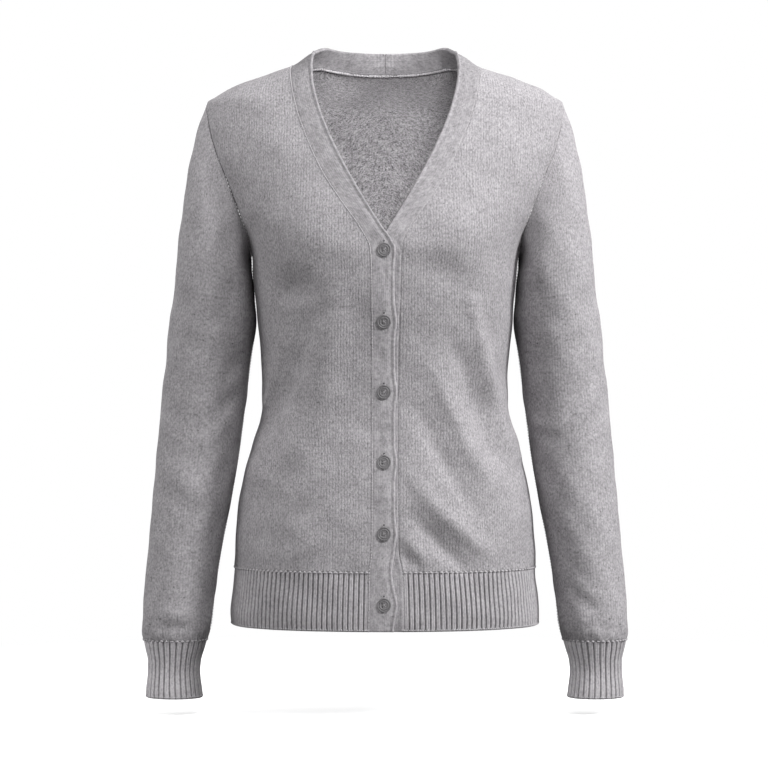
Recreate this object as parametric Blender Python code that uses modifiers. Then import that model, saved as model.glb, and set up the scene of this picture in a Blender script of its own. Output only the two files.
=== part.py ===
"""Button cardigan, worn and hollow: knitted panels, ribbed hem and cuffs, front bands and buttons.

+Z is up and the wearer faces -Y. The origin lies between the two points where the shoulder seams
meet the neck seam. Tables are in millimetres, and each solid is a cloth wall whose table surface is
the outer face of the cloth. Angles run round the torso from 0 at the centre front to 180 degrees at
the centre back, positive on the wearer's left (+X). On a sleeve they run from 0 at the outer side,
over 90 at the front, to 180 degrees under the arm.
"""

from collections import namedtuple
from math import pi

import bmesh
import bpy
import numpy as np
from mathutils import Matrix, Vector

MM = 0.001

# Cloth
KNIT_THICK = 2.0
BAND_THICK = 3.0
RIB_PITCH = 5.3
RIB_HEIGHT = 1.2
RIB_THICK = 2.6
RIB_VALLEY = 0.44
SEAM_GAP = 0.3

# Heights of the seams
HEM_HEIGHT = -577.0
HEM_RIB_TOP = -518.0
ARMPIT_HEIGHT = -197.0
SHOULDER_TIP_HEIGHT = -38.0
BACK_NECK_SEAM_DROP = 4.5
BACK_NECK_EDGE_RISE = 1.6
BACK_GUIDE_SPREAD = 0.06
CUFF_TOP = -592.0
CUFF_BOTTOM = -651.0
CUFF_RIBS = 30

# Buttons
BUTTON_COUNT = 6
BUTTON_TOP_HEIGHT = -196.3
BUTTON_SPACING = 70.8
BUTTON_RADIUS = 7.0
BUTTON_THICK = 2.6
BUTTON_OFFSET = -1.0
BUTTON_SEAT_GAP = 0.5
BUTTON_HOLE_RADIUS = 0.75
BUTTON_HOLE_OFFSET = 1.3

# Grid of each panel
LOWER_ROWS = 12
ARMHOLE_ROWS = 10
FRONT_COLUMNS = 8
NECK_COLUMNS = 7
BAND_COLUMNS = 3
HEM_ROWS = 2
SLEEVE_CROWN_ROWS = 6
SLEEVE_ROWS = 14
CUFF_ROWS = 3

# The wearer's right band lies on top of the left one where the front is buttoned.
RIGHT, LEFT = -1, 1
BAND_LAYER = {RIGHT: 1.8, LEFT: -1.6}
LAYERS_PART_FROM, LAYERS_PART_TO = -178.0, -112.0

Section = namedtuple("Section", "height half_width front back side_seam squareness")
TORSO = (
    Section(-577.0, 159.0, 115.5, 113.5, 0.0, 2.30),
    Section(-566.0, 159.4, 115.5, 113.5, 0.0, 2.30),
    Section(-552.0, 158.4, 114.5, 112.5, 0.0, 2.30),
    Section(-518.0, 155.2, 111.5, 110.0, 0.0, 2.30),
    Section(-493.0, 154.4, 110.0, 108.5, 0.0, 2.30),
    Section(-472.0, 153.4, 109.0, 107.0, 0.0, 2.30),
    Section(-451.0, 150.8, 107.0, 104.0, 0.0, 2.30),
    Section(-430.0, 147.0, 104.5, 100.0, 0.0, 2.30),
    Section(-410.0, 142.0, 101.5, 95.5, 0.0, 2.30),
    Section(-389.0, 136.5, 98.5, 91.0, 0.0, 2.30),
    Section(-368.0, 130.0, 96.0, 86.5, 0.0, 2.30),
    Section(-350.0, 126.4, 95.5, 84.0, 0.0, 2.30),
    Section(-316.0, 127.5, 97.0, 84.5, 0.0, 2.30),
    Section(-283.0, 130.0, 101.0, 87.0, 0.0, 2.30),
    Section(-247.0, 133.6, 107.5, 90.0, 0.0, 2.30),
    Section(-220.0, 135.6, 111.0, 91.5, 0.0, 2.30),
    Section(-197.0, 137.0, 111.5, 92.5, 0.0, 2.30),
    Section(-181.0, 143.0, 110.0, 93.0, 0.0, 2.25),
    Section(-161.0, 155.0, 107.0, 93.0, 1.0, 2.20),
    Section(-143.0, 165.0, 103.5, 92.5, 2.0, 2.15),
    Section(-119.0, 176.0, 97.0, 91.5, 3.0, 2.10),
    Section(-92.0, 184.5, 88.0, 89.5, 4.0, 2.10),
    Section(-67.0, 187.0, 77.0, 86.0, 6.0, 2.10),
    Section(-50.0, 186.5, 69.0, 83.0, 7.0, 2.10),
    Section(-38.0, 184.0, 63.5, 80.5, 8.0, 2.10),
    Section(-33.0, 177.0, 61.0, 79.0, 9.0, 2.10),
    Section(-25.0, 163.5, 57.0, 76.0, 10.0, 2.10),
    Section(-16.6, 143.0, 53.0, 73.0, 11.0, 2.15),
    Section(-8.3, 119.0, 49.0, 69.5, 11.5, 2.20),
    Section(0.0, 96.0, 45.0, 66.5, 12.0, 2.25),
    Section(8.0, 84.0, 42.0, 64.5, 12.0, 2.30),
    Section(16.5, 71.5, 40.0, 62.5, 12.0, 2.30),
    Section(24.0, 62.0, 38.0, 61.0, 12.0, 2.30),
)

# The band between its seam and its free edge, as distances from the centre front and heights.
# A minus sign is past the centre front. apart is how far the left band lies from the right one's
# mirror image, which shows it beside the buttoned edge.
BandPoint = namedtuple("BandPoint", "seam seam_height edge edge_height apart")
BAND = (
    BandPoint(16.3, -577.0, -8.6, -577.0, 2.5),
    BandPoint(16.0, -550.0, -10.6, -550.0, 2.5),
    BandPoint(15.4, -518.0, -7.2, -518.0, 2.0),
    BandPoint(13.2, -495.0, -9.8, -495.0, 0.6),
    BandPoint(12.8, -440.0, -10.3, -440.0, 0.4),
    BandPoint(12.6, -390.0, -10.3, -390.0, 0.4),
    BandPoint(12.4, -330.0, -10.3, -330.0, 0.8),
    BandPoint(12.8, -266.0, -10.0, -266.0, 1.6),
    BandPoint(13.2, -240.0, -9.6, -240.0, 2.6),
    BandPoint(13.6, -215.0, -9.4, -213.0, 2.6),
    BandPoint(15.0, -194.0, -8.0, -190.0, 2.0),
    BandPoint(25.0, -173.5, 3.6, -171.5, 0.0),
    BandPoint(44.0, -146.3, 23.8, -138.5, 0.0),
    BandPoint(64.8, -113.0, 41.8, -105.8, 0.0),
    BandPoint(80.4, -78.0, 57.0, -73.5, 0.0),
    BandPoint(90.0, -50.0, 67.8, -43.5, 0.0),
    BandPoint(95.4, -24.0, 73.6, -17.0, 0.0),
    BandPoint(97.2, -8.0, 74.8, 3.0, 0.0),
    BandPoint(96.0, 0.0, 71.0, 17.0, 0.0),
)

# How far the armhole is scooped out of the side of the torso, in degrees at its middle, and how
# much of that moves towards the armpit.
ArmholeScoop = namedtuple("ArmholeScoop", "degrees lean")
FRONT_SCOOP = ArmholeScoop(24.0, 0.16)
BACK_SCOOP = ArmholeScoop(22.0, 0.10)

SleeveRing = namedtuple("SleeveRing", "height centre half_width forward half_depth")
SLEEVE = (
    SleeveRing(-651.0, 216.0, 29.4, 24.0, 27.5),
    SleeveRing(-643.0, 216.5, 28.8, 23.5, 27.0),
    SleeveRing(-624.0, 216.7, 26.9, 22.0, 25.5),
    SleeveRing(-613.0, 216.2, 27.4, 21.2, 27.0),
    SleeveRing(-603.0, 215.8, 29.9, 20.4, 30.0),
    SleeveRing(-592.0, 215.4, 32.6, 19.4, 33.5),
    SleeveRing(-583.0, 215.0, 35.0, 18.2, 37.0),
    SleeveRing(-573.0, 214.0, 36.0, 16.8, 38.5),
    SleeveRing(-552.0, 212.2, 36.1, 14.0, 39.5),
    SleeveRing(-501.0, 206.7, 37.9, 8.0, 42.0),
    SleeveRing(-450.0, 199.5, 40.4, 3.0, 45.0),
    SleeveRing(-398.0, 193.3, 42.7, -2.0, 47.0),
    SleeveRing(-346.0, 187.5, 43.5, -4.0, 48.5),
    SleeveRing(-295.0, 181.8, 44.3, -4.0, 52.0),
    SleeveRing(-278.0, 179.5, 44.9, -3.6, 53.5),
    SleeveRing(-262.0, 177.9, 44.5, -3.2, 54.5),
    SleeveRing(-247.0, 177.1, 42.5, -2.6, 55.5),
    SleeveRing(-230.0, 176.8, 41.2, -2.0, 56.0),
)
SLEEVE_CROWN_END = -230.0
CROWN_SLOPE_OVER = 5.0

# Between these two turns the sleeve's start moves a seam gap further out from the armhole's edge.
UNDERARM_FROM, UNDERARM_TO = 110.0, 170.0

# The way the sleeve leaves the armhole seam, as shares of the crown's length there.
CrownLeave = namedtuple("CrownLeave", "angle out forward down")
CROWN = (
    CrownLeave(0.0, 0.28, 0.00, 0.70),
    CrownLeave(45.0, 0.36, 0.12, 0.62),
    CrownLeave(90.0, 0.45, 0.22, 0.55),
    CrownLeave(135.0, 0.42, 0.22, 0.50),
    CrownLeave(180.0, 0.08, 0.00, 0.55),
)

# Soft forms in the cloth: ridges stand out and troughs are negative. Each runs between two points,
# given by their distance from the centre line (positive on the wearer's left) and their height.
Fold = namedtuple("Fold", "face x0 height0 x1 height1 width relief")
FRONT, BACK = "front", "back"
FOLDS = (
    Fold(FRONT, -78.0, -205.0, -90.0, -207.0, 44.0, 7.0),
    Fold(FRONT, 78.0, -205.0, 90.0, -207.0, 44.0, 7.0),
    Fold(FRONT, -100.0, -262.0, -116.0, -345.0, 12.0, 3.5),
    Fold(FRONT, 101.0, -255.0, 117.0, -350.0, 12.0, 3.5),
    Fold(FRONT, -84.0, -285.0, -98.0, -350.0, 16.0, -3.0),
    Fold(FRONT, 86.0, -310.0, 100.0, -360.0, 16.0, -3.0),
    Fold(FRONT, 60.0, -378.0, 94.0, -445.0, 15.0, -3.5),
    Fold(FRONT, 82.0, -390.0, 112.0, -460.0, 15.0, 3.0),
    Fold(FRONT, 44.0, -465.0, 84.0, -506.0, 13.0, -3.2),
    Fold(FRONT, 58.0, -436.0, 98.0, -488.0, 14.0, 2.8),
    Fold(FRONT, -70.0, -380.0, -106.0, -420.0, 18.0, -2.5),
    Fold(BACK, -28.0, -330.0, -84.0, -420.0, 18.0, -3.0),
    Fold(BACK, 34.0, -345.0, 92.0, -405.0, 18.0, -3.0),
    Fold(BACK, -72.0, -215.0, -96.0, -285.0, 16.0, 3.0),
    Fold(BACK, 74.0, -225.0, 98.0, -290.0, 16.0, 3.0),
)


def column(table, name):
    return np.array([getattr(row, name) for row in table], float)


def smooth(knots, values, at):
    """A smooth curve through the values that doesn't overshoot between them."""
    knots, values = np.asarray(knots, float), np.asarray(values, float)
    at = np.clip(np.asarray(at, float), knots[0], knots[-1])
    step = np.diff(knots)
    rise = np.diff(values) / step
    slope = np.zeros(len(knots))
    same_way = rise[:-1] * rise[1:] > 0
    weight0, weight1 = 2 * step[1:] + step[:-1], step[1:] + 2 * step[:-1]
    inner = np.zeros(len(rise) - 1)
    np.divide(weight0 + weight1, weight0 / np.where(same_way, rise[:-1], 1) +
              weight1 / np.where(same_way, rise[1:], 1), out=inner, where=same_way)
    slope[1:-1] = inner
    slope[0], slope[-1] = rise[0], rise[-1]
    index = np.clip(np.searchsorted(knots, at, side="right") - 1, 0, len(step) - 1)
    width = step[index]
    t = (at - knots[index]) / width
    return ((1 + 2 * t) * (1 - t) ** 2 * values[index] + t * (1 - t) ** 2 * width * slope[index]
            + t * t * (3 - 2 * t) * values[index + 1] - t * t * (1 - t) * width * slope[index + 1])


def read(table, key, name, at):
    return smooth(column(table, key), column(table, name), at)


def ease(value, start, end):
    """0 at start, 1 at end, with a smooth run between them."""
    t = np.clip((np.asarray(value, float) - start) / (end - start), 0, 1)
    return t * t * (3 - 2 * t)


def unit(vectors):
    return vectors / np.maximum(np.linalg.norm(vectors, axis=-1, keepdims=True), 1e-12)


# --- The torso's surface ---


def torso_base(angle, height):
    angle, height = np.broadcast_arrays(np.asarray(angle, float), np.asarray(height, float))
    half_width, front, back, side_seam, power = (
        read(TORSO, "height", name, height)
        for name in ("half_width", "front", "back", "side_seam", "squareness")
    )
    sine, cosine = np.sin(angle), np.cos(angle)
    reach = (np.abs(sine) ** power + np.abs(cosine) ** power) ** (-1 / power)
    depth = np.where(cosine > 0, front + side_seam, back - side_seam)
    return np.stack([half_width * reach * sine, side_seam - depth * reach * cosine, height], -1)


def torso_normal(angle, height):
    turn, rise = 1e-3, 0.2
    round_it = torso_base(angle + turn, height) - torso_base(angle - turn, height)
    up = torso_base(angle, height + rise) - torso_base(angle, height - rise)
    return unit(np.cross(round_it, up))


def fold_relief(points, angle):
    """How far the cloth's soft forms stand out at points of the torso."""
    relief = np.zeros(points.shape[:-1])
    on_front = ease(np.cos(angle), -0.05, 0.25)
    for fold in FOLDS:
        start = np.array([fold.x0, fold.height0])
        along = np.array([fold.x1, fold.height1]) - start
        place = points[..., [0, 2]] - start
        share = np.clip(place @ along / (along @ along), 0, 1)
        away = np.linalg.norm(place - share[..., None] * along, axis=-1)
        side = on_front if fold.face == FRONT else 1 - on_front
        relief += fold.relief * np.exp(-((away / fold.width) ** 2)) * side
    return relief


def torso(angle, height, offset=0.0):
    """Points of the torso's outer surface, moved out by offset."""
    angle, height = np.broadcast_arrays(np.asarray(angle, float), np.asarray(height, float))
    base = torso_base(angle, height)
    return base + torso_normal(angle, height) * (fold_relief(base, angle) + offset)[..., None]


def angle_at(x, height):
    """The angle on the front where the torso is x from the centre line."""
    power = read(TORSO, "height", "squareness", height)
    share = np.clip(np.abs(x) / read(TORSO, "height", "half_width", height), 0, 1) ** power
    return np.sign(x) * np.arctan2(share ** (1 / power), (1 - share) ** (1 / power))


def armhole(turn, scoop):
    """Angle and height of the armhole's edge, for turn 0 at the shoulder tip to pi at the armpit."""
    middle = (SHOULDER_TIP_HEIGHT + ARMPIT_HEIGHT) / 2
    half = (SHOULDER_TIP_HEIGHT - ARMPIT_HEIGHT) / 2
    scooped = np.radians(scoop.degrees) * np.sin(turn) * (1 - scoop.lean * np.cos(turn))
    return pi / 2 - scooped, middle + half * np.cos(turn)


# --- The band's two edges ---


def band_places(side):
    """Samples of the band's course: their place in the table, the seam and the edge as (x, height)."""
    rows = np.arange(len(BAND), dtype=float)
    at = rows[-1] * (1 - (1 - np.linspace(0, 1, 2001)) ** 2)
    seam_x, seam_z, edge_x, edge_z, apart = (
        smooth(rows, column(BAND, name), at) for name in BandPoint._fields
    )
    if side == LEFT:
        seam_x = seam_x + apart
        edge_x = edge_x + apart
    return at, (seam_x, seam_z), (edge_x, edge_z)


def even_stations(keys, points, start, count):
    """Keys that split the line of points, from the key start to its end, into equal lengths."""
    length = np.concatenate([[0], np.cumsum(np.linalg.norm(np.diff(points, axis=0), axis=1))])
    return np.interp(np.linspace(np.interp(start, keys, length), length[-1], count + 1), length, keys)


def seam_stations(side):
    """Places in the band's table where the rows of the front panel meet it."""
    at, (seam_x, seam_z), _ = band_places(side)
    low = np.interp(lower_heights(), seam_z, at)
    points = torso_base(angle_at(seam_x, seam_z), seam_z)
    return np.concatenate([low, even_stations(at, points, low[-1], ARMHOLE_ROWS)[1:]])


def band_edge(side, stations, which):
    """Angle and height of the band's seam (which 0) or free edge (which 1)."""
    at, *edges = band_places(side)
    x, height = (np.interp(stations, at, values) for values in edges[which])
    return angle_at(x, height), height


def back_neck(turns, which):
    """Angle and height of the back neck's seam or free edge, for angles past the shoulder."""
    share = ease(turns, pi / 2, pi)
    if which == 0:
        return turns, -BACK_NECK_SEAM_DROP * share
    return turns, BAND[-1].edge_height + BACK_NECK_EDGE_RISE * share


# --- Walls of cloth ---


def pull_in(points, sides):
    """Moves the named edges of a grid half a seam gap inwards, where another piece meets them."""
    points = points.copy()
    gap = SEAM_GAP / 2
    if "bottom" in sides:
        points[0] += unit(points[1] - points[0]) * gap
    if "top" in sides:
        points[-1] += unit(points[-2] - points[-1]) * gap
    if "first" in sides:
        points[:, 0] += unit(points[:, 1] - points[:, 0]) * gap
    if "last" in sides:
        points[:, -1] += unit(points[:, -2] - points[:, -1]) * gap
    return points


def wall(name, outer, inner, material, tube=False):
    """A closed wall between two grids of points, the outer with one or more columns per inner one."""
    rows, inner_columns = inner.shape[:2]
    outer_columns = outer.shape[1]
    spans = inner_columns if tube else inner_columns - 1
    ratio = outer_columns // spans
    mesh = bmesh.new()
    outside = [[mesh.verts.new(point * MM) for point in row] for row in outer]
    inside = [[mesh.verts.new(point * MM) for point in row] for row in inner]

    def skin(grid, count):
        width = len(grid[0])
        for row in range(rows - 1):
            for k in range(count):
                after = (k + 1) % width
                mesh.faces.new((grid[row][k], grid[row][after], grid[row + 1][after], grid[row + 1][k]))

    skin(outside, spans * ratio)
    skin(inside, spans)
    for row in (0, rows - 1):
        for k in range(spans):
            lip = [outside[row][(k * ratio + i) % outer_columns] for i in range(ratio + 1)]
            mesh.faces.new(lip + [inside[row][(k + 1) % inner_columns], inside[row][k]])
    if not tube:
        for k_out, k_in in ((0, 0), (outer_columns - 1, inner_columns - 1)):
            for row in range(rows - 1):
                mesh.faces.new((outside[row][k_out], outside[row + 1][k_out],
                                inside[row + 1][k_in], inside[row][k_in]))
    bmesh.ops.recalc_face_normals(mesh, faces=mesh.faces)
    data = bpy.data.meshes.new(name)
    mesh.to_mesh(data)
    mesh.free()
    data.shade_smooth()
    data.set_sharp_from_angle(angle=pi / 4)
    data.materials.append(material)
    piece = bpy.data.objects.new(name, data)
    bpy.data.collections["Cardigan"].objects.link(piece)
    return piece


def torso_wall(name, angle, height, sides, material, thick=KNIT_THICK, layer=0.0):
    """A wall over a grid of the torso's angles and heights."""
    outer = pull_in(torso(angle, height, layer), sides)
    inner = pull_in(torso(angle, height, layer - thick), sides)
    return wall(name, outer, inner, material)


# --- Panels ---


def lower_heights():
    return np.linspace(HEM_RIB_TOP, ARMPIT_HEIGHT, LOWER_ROWS + 1)


def armhole_turns():
    return np.linspace(pi, 0, ARMHOLE_ROWS + 1)


def outer_edge(scoop):
    """Angle and height up the side seam and round the armhole to the shoulder tip."""
    low = lower_heights()
    angle, height = armhole(armhole_turns()[1:], scoop)
    return np.concatenate([np.full(len(low), pi / 2), angle]), np.concatenate([low, height])


def front_panel(side, material):
    stations = seam_stations(side)
    seam_angle, seam_height = band_edge(side, stations, 0)
    edge_angle, edge_height = outer_edge(FRONT_SCOOP)
    share = np.linspace(0, 1, FRONT_COLUMNS + 1)
    angle = seam_angle[:, None] + (edge_angle - seam_angle)[:, None] * share
    height = seam_height[:, None] + (edge_height - seam_height)[:, None] * share
    sides = ("bottom", "top", "first", "last")
    name = "front_right" if side == RIGHT else "front_left"
    return torso_wall(name, side * angle, height, sides, material)


def back_guide():
    """Angle and height of the column that climbs the back to the neck end of the shoulder seam."""
    neck_x = BAND[-1].seam

    def angle(height):
        wide = read(TORSO, "height", "half_width", height)
        return pi - angle_at(np.minimum(neck_x + BACK_GUIDE_SPREAD * (wide - neck_x), wide), height)

    heights = ARMPIT_HEIGHT * np.linspace(1, 0, 1001) ** 2
    points = torso_base(angle(heights), heights)
    climb = even_stations(heights, points, ARMPIT_HEIGHT, ARMHOLE_ROWS)
    height = np.concatenate([lower_heights(), climb[1:]])
    return angle(height), height


def back_panel(material):
    """The back, from the wearer's left side seam across the back neck to the right one."""
    edge_angle, edge_height = outer_edge(BACK_SCOOP)
    edge_angle = pi - edge_angle
    guide_angle, guide_height = back_guide()
    share = np.linspace(0, 1, FRONT_COLUMNS + 1)
    angle = edge_angle[:, None] + (guide_angle - edge_angle)[:, None] * share
    height = edge_height[:, None] + (guide_height - edge_height)[:, None] * share
    across = np.linspace(0, 1, NECK_COLUMNS + 1)[1:]
    neck_angle = guide_angle[:, None] + (pi - guide_angle)[:, None] * across
    climb = ease(guide_height, ARMPIT_HEIGHT, 0)[:, None]
    neck_height = guide_height[:, None] + back_neck(neck_angle, 0)[1] * climb
    angle = np.concatenate([angle, neck_angle], 1)
    height = np.concatenate([height, neck_height], 1)
    angle = np.concatenate([angle, 2 * pi - angle[:, -2::-1]], 1)
    height = np.concatenate([height, height[:, -2::-1]], 1)
    return torso_wall("back", angle, height, ("bottom", "top", "first", "last"), material)


def hem_rib(name, first, last, material):
    """A stretch of the ribbed hem. first and last give the angle of its ends at each height."""
    heights = np.linspace(HEM_HEIGHT, HEM_RIB_TOP, HEM_ROWS + 1)
    start, end = first(heights), last(heights)
    way = np.linspace(0, 1, 400)
    middle = torso_base(start[1] + (end[1] - start[1]) * way, heights[1])
    length = np.concatenate([[0], np.cumsum(np.linalg.norm(np.diff(middle, axis=0), axis=1))])
    ribs = round(length[-1] / RIB_PITCH)
    places, relief = rib_profile(ribs)

    def grid(at, offset):
        share = np.interp(at, length / length[-1], way)
        angle = start[:, None] + (end - start)[:, None] * share
        return pull_in(torso(angle, heights[:, None], offset), ("top", "first", "last"))

    outer = grid(np.append(places, 1), np.append(relief, relief[0]))
    inner = grid(np.linspace(0, 1, ribs + 1), -RIB_THICK)
    return wall(name, outer, inner, material)


def rib_profile(ribs):
    """Places along a ribbed wall, as shares of its length, and how far the cloth stands out there."""
    places = np.arange(ribs)[:, None] + np.array([0, RIB_VALLEY / 2, 1 - RIB_VALLEY / 2])
    return places.ravel() / ribs, np.tile([-RIB_HEIGHT, 0.0, 0.0], ribs)


def placket_angle(side):
    """The angle of the band's seam across the hem, on either side of the centre front."""

    def at(heights):
        _, (seam_x, seam_z), _ = band_places(side)
        return side * angle_at(np.interp(heights, seam_z, seam_x), heights)

    return at


def side_angle(degrees):
    return lambda heights: np.full(len(heights), np.radians(degrees))


def band(side, material):
    """One front band, from the hem up the front and over the shoulder to the centre back."""
    at, (_, seam_z), _ = band_places(side)
    hem = np.interp(np.linspace(HEM_HEIGHT, HEM_RIB_TOP, 2 * HEM_ROWS + 1), seam_z, at)
    stations = np.concatenate([hem[:-1], seam_stations(side)])
    neck = np.linspace(pi / 2, pi, NECK_COLUMNS + 1)[1:]
    lines = []
    for which in (0, 1):
        angle, height = band_edge(side, stations, which)
        neck_angle, neck_height = back_neck(neck, which)
        lines.append((np.append(angle, neck_angle), np.append(height, neck_height)))
    share = np.linspace(0, 1, BAND_COLUMNS + 1)
    angle = lines[0][0][:, None] + (lines[1][0] - lines[0][0])[:, None] * share
    height = lines[0][1][:, None] + (lines[1][1] - lines[0][1])[:, None] * share
    layer = BAND_LAYER[side] * (1 - ease(height, LAYERS_PART_FROM, LAYERS_PART_TO))
    name = "band_right" if side == RIGHT else "band_left"
    return torso_wall(name, side * angle, height, ("top", "first"), material, BAND_THICK, layer)


# --- Sleeves ---


def sleeve_ring(turn, height):
    """Points round the sleeve at one height, on the wearer's left."""
    turn, height = np.broadcast_arrays(np.asarray(turn, float), np.asarray(height, float))
    centre, half_width, forward, half_depth = (
        read(SLEEVE, "height", name, height)
        for name in ("centre", "half_width", "forward", "half_depth")
    )
    return np.stack([centre + half_width * np.cos(turn), -forward - half_depth * np.sin(turn), height], -1)


def crown_start(turn):
    """Points of the armhole's edge, the way out of the body there, and the cloth's own way in."""
    at = np.where(turn <= pi, turn, 2 * pi - turn)
    front_angle, height = armhole(at, FRONT_SCOOP)
    back_angle, _ = armhole(at, BACK_SCOOP)
    angle = np.where(turn <= pi, front_angle, pi - back_angle)
    start = torso(angle, height)
    normal = torso_normal(angle, height)
    round_it = np.roll(start, -1, 0) - np.roll(start, 1, 0)
    inwards = unit(np.cross(normal, round_it))
    centre = start.mean(0)
    inwards *= np.sign(((centre - start) * inwards).sum(-1, keepdims=True))
    return start, normal, inwards


def sleeve_grid(turns):
    """Points of the sleeve's outer surface from the armhole down to the cuff."""
    at = np.degrees(np.where(turns <= pi, turns, 2 * pi - turns))
    start, normal, inwards = crown_start(turns)
    under = ease(at, UNDERARM_FROM, UNDERARM_TO)[:, None]
    start = start + (inwards + normal * under) * SEAM_GAP
    end = sleeve_ring(turns, SLEEVE_CROWN_END)
    length = np.linalg.norm(end - start, axis=1)[:, None]
    ahead = np.where(turns <= pi, -1.0, 1.0)
    leave = np.stack([read(CROWN, "angle", "out", at), ahead * read(CROWN, "angle", "forward", at),
                      -read(CROWN, "angle", "down", at)], -1) * length
    below = sleeve_ring(turns, SLEEVE_CROWN_END - CROWN_SLOPE_OVER)
    arrive = unit(below - end) * length
    rows = []
    for t in np.linspace(0, 1, SLEEVE_CROWN_ROWS + 1):
        rows.append((1 + 2 * t) * (1 - t) ** 2 * start + t * (1 - t) ** 2 * leave
                    + t * t * (3 - 2 * t) * end - t * t * (1 - t) * arrive)
    for height in np.linspace(SLEEVE_CROWN_END, CUFF_TOP, SLEEVE_ROWS + 1)[1:]:
        rows.append(sleeve_ring(turns, height))
    return np.array(rows)


def tube_normals(grid):
    """Outward normals of a grid whose rows are closed rings, one below the other."""
    round_it = np.roll(grid, -1, 1) - np.roll(grid, 1, 1)
    down = np.gradient(grid, axis=0)
    return unit(np.cross(round_it, down))


def mirrored(grid, side):
    return grid * np.array([side, 1, 1])


def sleeve(side, material):
    turns = np.linspace(0, 2 * pi, 2 * ARMHOLE_ROWS, endpoint=False)
    outer = sleeve_grid(turns)
    inner = outer - tube_normals(outer) * KNIT_THICK
    outer[-1, :, 2] += SEAM_GAP / 2
    inner[-1, :, 2] = outer[-1, :, 2]
    name = "sleeve_right" if side == RIGHT else "sleeve_left"
    return wall(name, mirrored(outer, side), mirrored(inner, side), material, tube=True)


def cuff(side, material):
    heights = np.linspace(CUFF_TOP - SEAM_GAP / 2, CUFF_BOTTOM, CUFF_ROWS + 1)[:, None]
    shares, relief = rib_profile(CUFF_RIBS)
    outer = sleeve_ring(2 * pi * shares, heights)
    outer = outer + tube_normals(outer) * relief[:, None]
    inner = sleeve_ring(np.linspace(0, 2 * pi, CUFF_RIBS, endpoint=False), heights)
    inner = inner - tube_normals(inner) * RIB_THICK
    outer[..., 2] = heights
    inner[..., 2] = heights
    name = "cuff_right" if side == RIGHT else "cuff_left"
    return wall(name, mirrored(outer, side), mirrored(inner, side), material, tube=True)


# --- Buttons ---


def make_button_mesh(material):
    """A turned, dished disc with four thread holes, standing on its own XY plane."""
    rim, dish = 0.82, 0.6
    profile = ((0.0, BUTTON_THICK - 0.9), (dish * BUTTON_RADIUS, BUTTON_THICK - 0.9),
               (rim * BUTTON_RADIUS, BUTTON_THICK), (0.95 * BUTTON_RADIUS, BUTTON_THICK),
               (BUTTON_RADIUS, 0.6 * BUTTON_THICK), (0.88 * BUTTON_RADIUS, 0.0), (0.0, 0.0))
    data = bpy.data.meshes.new("button")
    data.from_pydata([(x * MM, 0, z * MM) for x, z in profile],
                     [(k, k + 1) for k in range(len(profile) - 1)], [])
    turned = bpy.data.objects.new("button_turned", data)
    bpy.data.collections["Cardigan"].objects.link(turned)
    screw = turned.modifiers.new("Turn", "SCREW")
    screw.steps = screw.render_steps = 18
    screw.use_merge_vertices = True
    screw.merge_threshold = 0.00001
    for k in range(4):
        x, y = ((1, 1), (-1, 1), (-1, -1), (1, -1))[k]
        bpy.ops.mesh.primitive_cylinder_add(
            vertices=6, radius=BUTTON_HOLE_RADIUS * MM, depth=3 * BUTTON_THICK * MM,
            location=(x * BUTTON_HOLE_OFFSET * MM, y * BUTTON_HOLE_OFFSET * MM, 0))
        cutter = bpy.context.object
        cutter.name = f"thread_hole_cutter_{k}"
        cutter.hide_render = True
        cutter.display_type = "WIRE"
        for home in list(cutter.users_collection):
            home.objects.unlink(cutter)
        bpy.data.collections["Cutters"].objects.link(cutter)
        cut = turned.modifiers.new(f"Hole {k}", "BOOLEAN")
        cut.operation = "DIFFERENCE"
        cut.object = cutter
    bpy.context.view_layer.update()
    graph = bpy.context.evaluated_depsgraph_get()
    finished = bpy.data.meshes.new_from_object(turned.evaluated_get(graph))
    bpy.data.objects.remove(turned)
    finished.materials.clear()
    finished.materials.append(material)
    finished.shade_smooth()
    finished.set_sharp_from_angle(angle=pi / 6)
    return finished


def place_buttons(data):
    for k in range(BUTTON_COUNT):
        height = BUTTON_TOP_HEIGHT - k * BUTTON_SPACING
        angle = angle_at(BUTTON_OFFSET, height)
        foot = Vector(torso(angle, height, BAND_LAYER[RIGHT] + BUTTON_SEAT_GAP))
        facing = Vector(torso_normal(angle, height)).to_track_quat("Z", "X")
        button = bpy.data.objects.new(f"button_{k + 1}", data)
        button.matrix_world = Matrix.LocRotScale(foot * MM, facing, None)
        bpy.data.collections["Cardigan"].objects.link(button)


def make_material(name, colour, roughness):
    material = bpy.data.materials.new(name)
    material.use_nodes = True
    shader = material.node_tree.nodes["Principled BSDF"]
    shader.inputs["Base Color"].default_value = (*colour, 1)
    shader.inputs["Roughness"].default_value = roughness
    shader.inputs["Metallic"].default_value = 0.0
    return material


def main():
    for thing in list(bpy.data.objects):
        bpy.data.objects.remove(thing)
    for name in ("Cardigan", "Cutters"):
        bpy.context.scene.collection.children.link(bpy.data.collections.new(name))
    bpy.data.collections["Cutters"].hide_render = True
    knit = make_material("grey marl knit", (0.36, 0.36, 0.37), 0.9)
    ribbing = make_material("grey marl rib", (0.34, 0.34, 0.35), 0.9)
    plastic = make_material("grey button", (0.22, 0.22, 0.23), 0.4)
    back_panel(knit)
    for side in (RIGHT, LEFT):
        front_panel(side, knit)
        sleeve(side, knit)
        cuff(side, ribbing)
        band(side, knit)
    hem_rib("hem_right", side_angle(-90), placket_angle(RIGHT), ribbing)
    hem_rib("hem_left", placket_angle(LEFT), side_angle(90), ribbing)
    hem_rib("hem_back", side_angle(90), side_angle(270), ribbing)
    place_buttons(make_button_mesh(plastic))


main()
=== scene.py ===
from math import pi, radians

import bpy
import numpy as np
from mathutils import Matrix, Vector


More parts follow.
